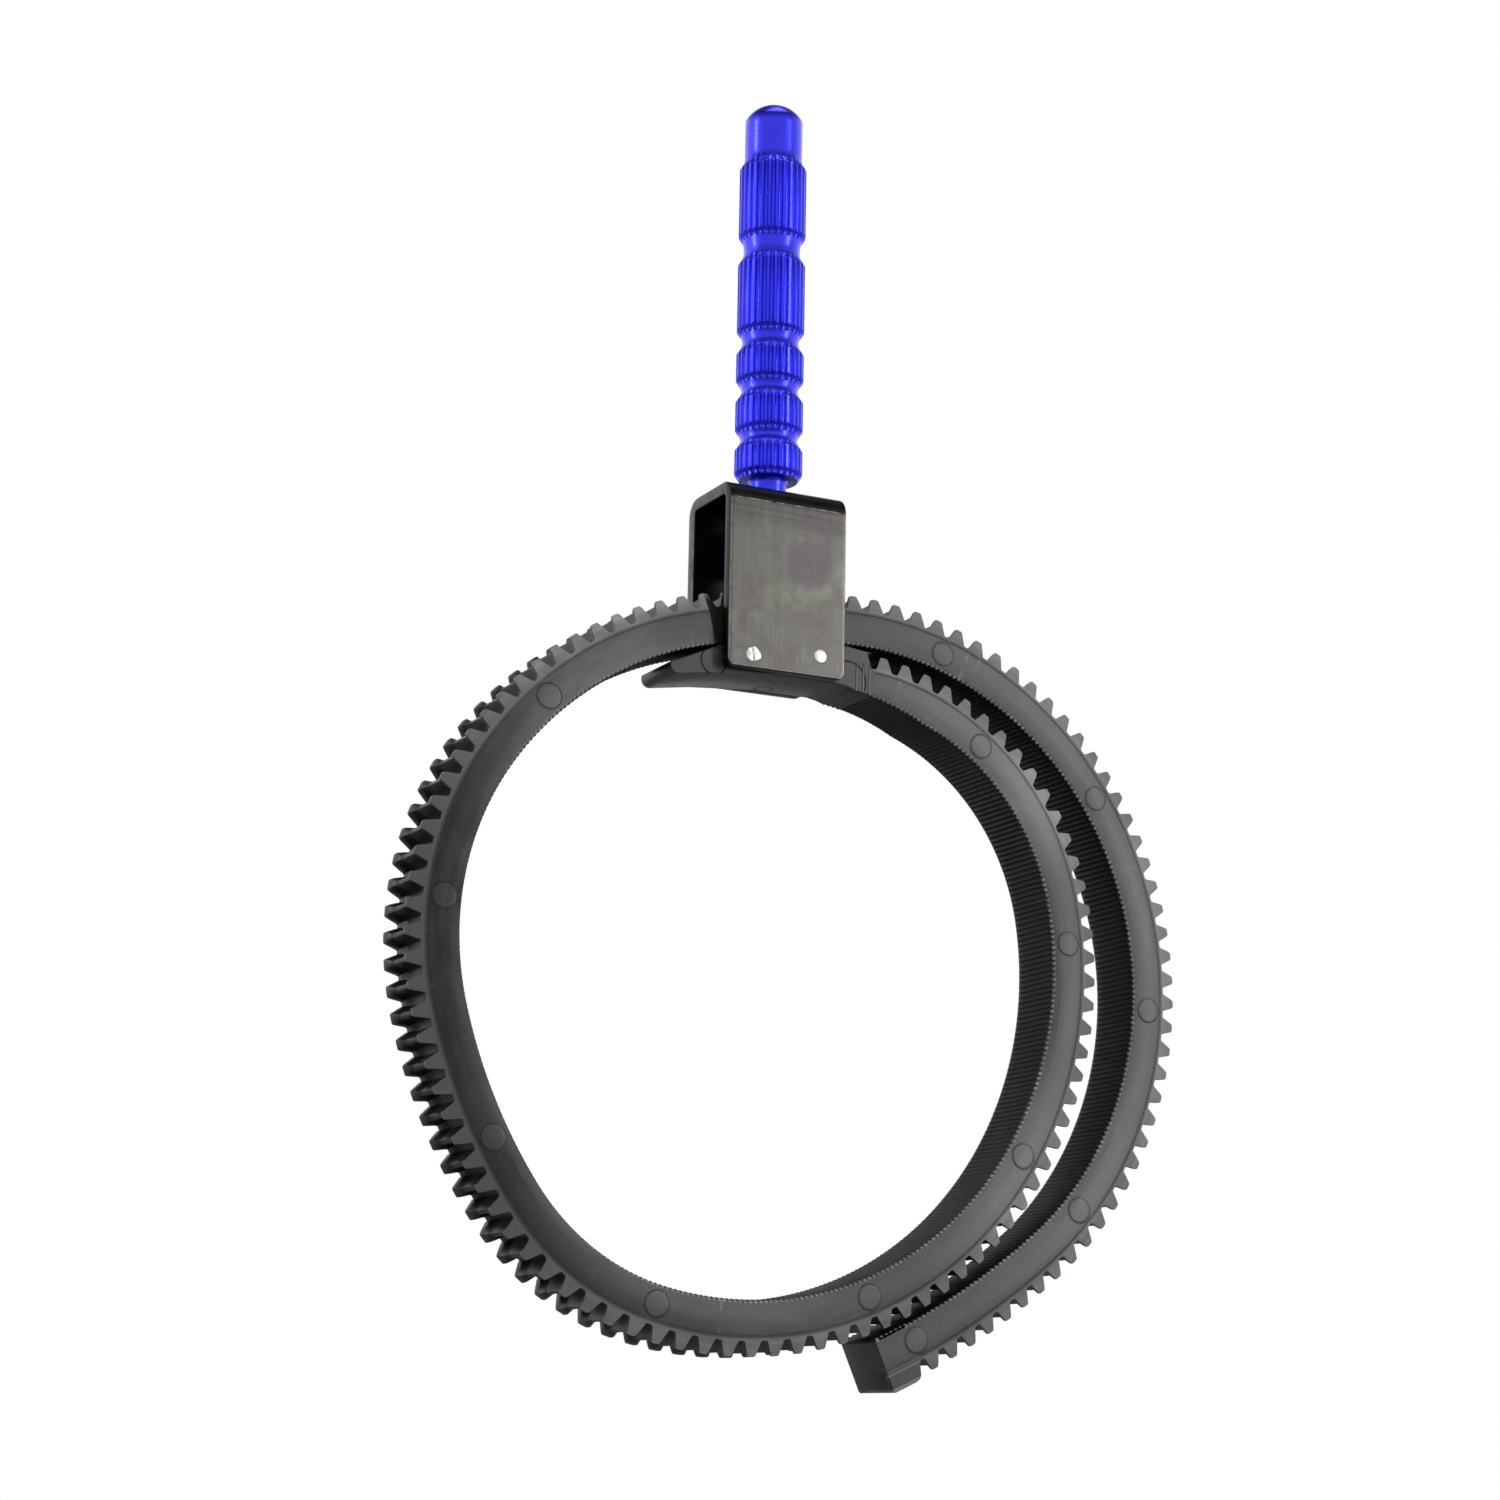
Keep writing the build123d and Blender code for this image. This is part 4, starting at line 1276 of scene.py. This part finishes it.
for name in ("key", "left", "top"):
    settings = studio[name]
    lamp = bpy.data.lights.new(name + "Lamp", "AREA")
    lamp.shape = "RECTANGLE"
    lamp.size, lamp.size_y = settings["size"]
    lamp.energy = settings["watts"]
    made = plainObject(name + "Lamp", lamp)
    made.location = settings["place"]
    aim = Vector((0, 0, 0.02)) - Vector(settings["place"])
    made.rotation_euler = aim.to_track_quat("-Z", "Y").to_euler()

world = bpy.data.worlds.new("studio")
bpy.context.scene.world = world
world.use_nodes = True
tree = world.node_tree
direction = addNode(tree, "ShaderNodeTexCoord").outputs["Generated"]


def towards(axis):
    return vectorCalc("DOT_PRODUCT", direction, Vector(axis).normalized(), out="Value")


fill = tree.nodes["Background"]
fill.inputs["Color"].default_value = (1, 1, 1, 1)
feed(fill.inputs["Strength"],
     spread(towards(studio["fillFrom"]), -0.7, 0.8, studio["fillLow"], studio["fillHigh"]))
height = axesOf(direction)["Z"]
wall = times(spread(height, 0.80, 0.45, smooth=True), spread(height, -0.42, -0.08, smooth=True))
bright = spread(towards(studio["backdrop"]), -0.2, 0.5, studio["seenBefore"], studio["seenBehind"],
                smooth=True)
darkGap = studio["gap"]
gap = spread(towards(darkGap["axis"]), darkGap["outside"], darkGap["inside"], 1.0, 1 - darkGap["dark"])
gloss = times(spread(wall, 0.0, 1.0, studio["seenOff"], 1.0), bright, gap)
glossy, seen = (addNode(tree, "ShaderNodeBackground", {"Color": (1, 1, 1, 1), "Strength": each}).outputs[0]
                for each in (gloss, 1.0))
path = addNode(tree, "ShaderNodeLightPath").outputs
mirrored = most(path["Is Glossy Ray"], path["Is Transmission Ray"])
lit = mixShaders(mirrored, fill.outputs[0], glossy)
shown = mixShaders(path["Is Camera Ray"], lit, seen)
feed(tree.nodes["World Output"].inputs["Surface"], shown)

cameraData = bpy.data.cameras.new("frontCamera")
cameraData.sensor_width = 36.0
cameraData.lens = frontCamera["focal"]
cameraData.clip_start = 0.01
camera = plainObject("frontCamera", cameraData)
ahead = Vector(frontCamera["ahead"]).normalized()
right = ahead.cross(Vector(frontCamera["up"])).normalized()
up = right.cross(ahead)
turn = Matrix((right, up, -ahead)).transposed().to_4x4()
camera.matrix_world = Matrix.Translation(Vector(frontCamera["place"]) * mm) @ turn
bpy.context.scene.camera = camera
bpy.context.scene.view_settings.view_transform = "Standard"
print("stage set")
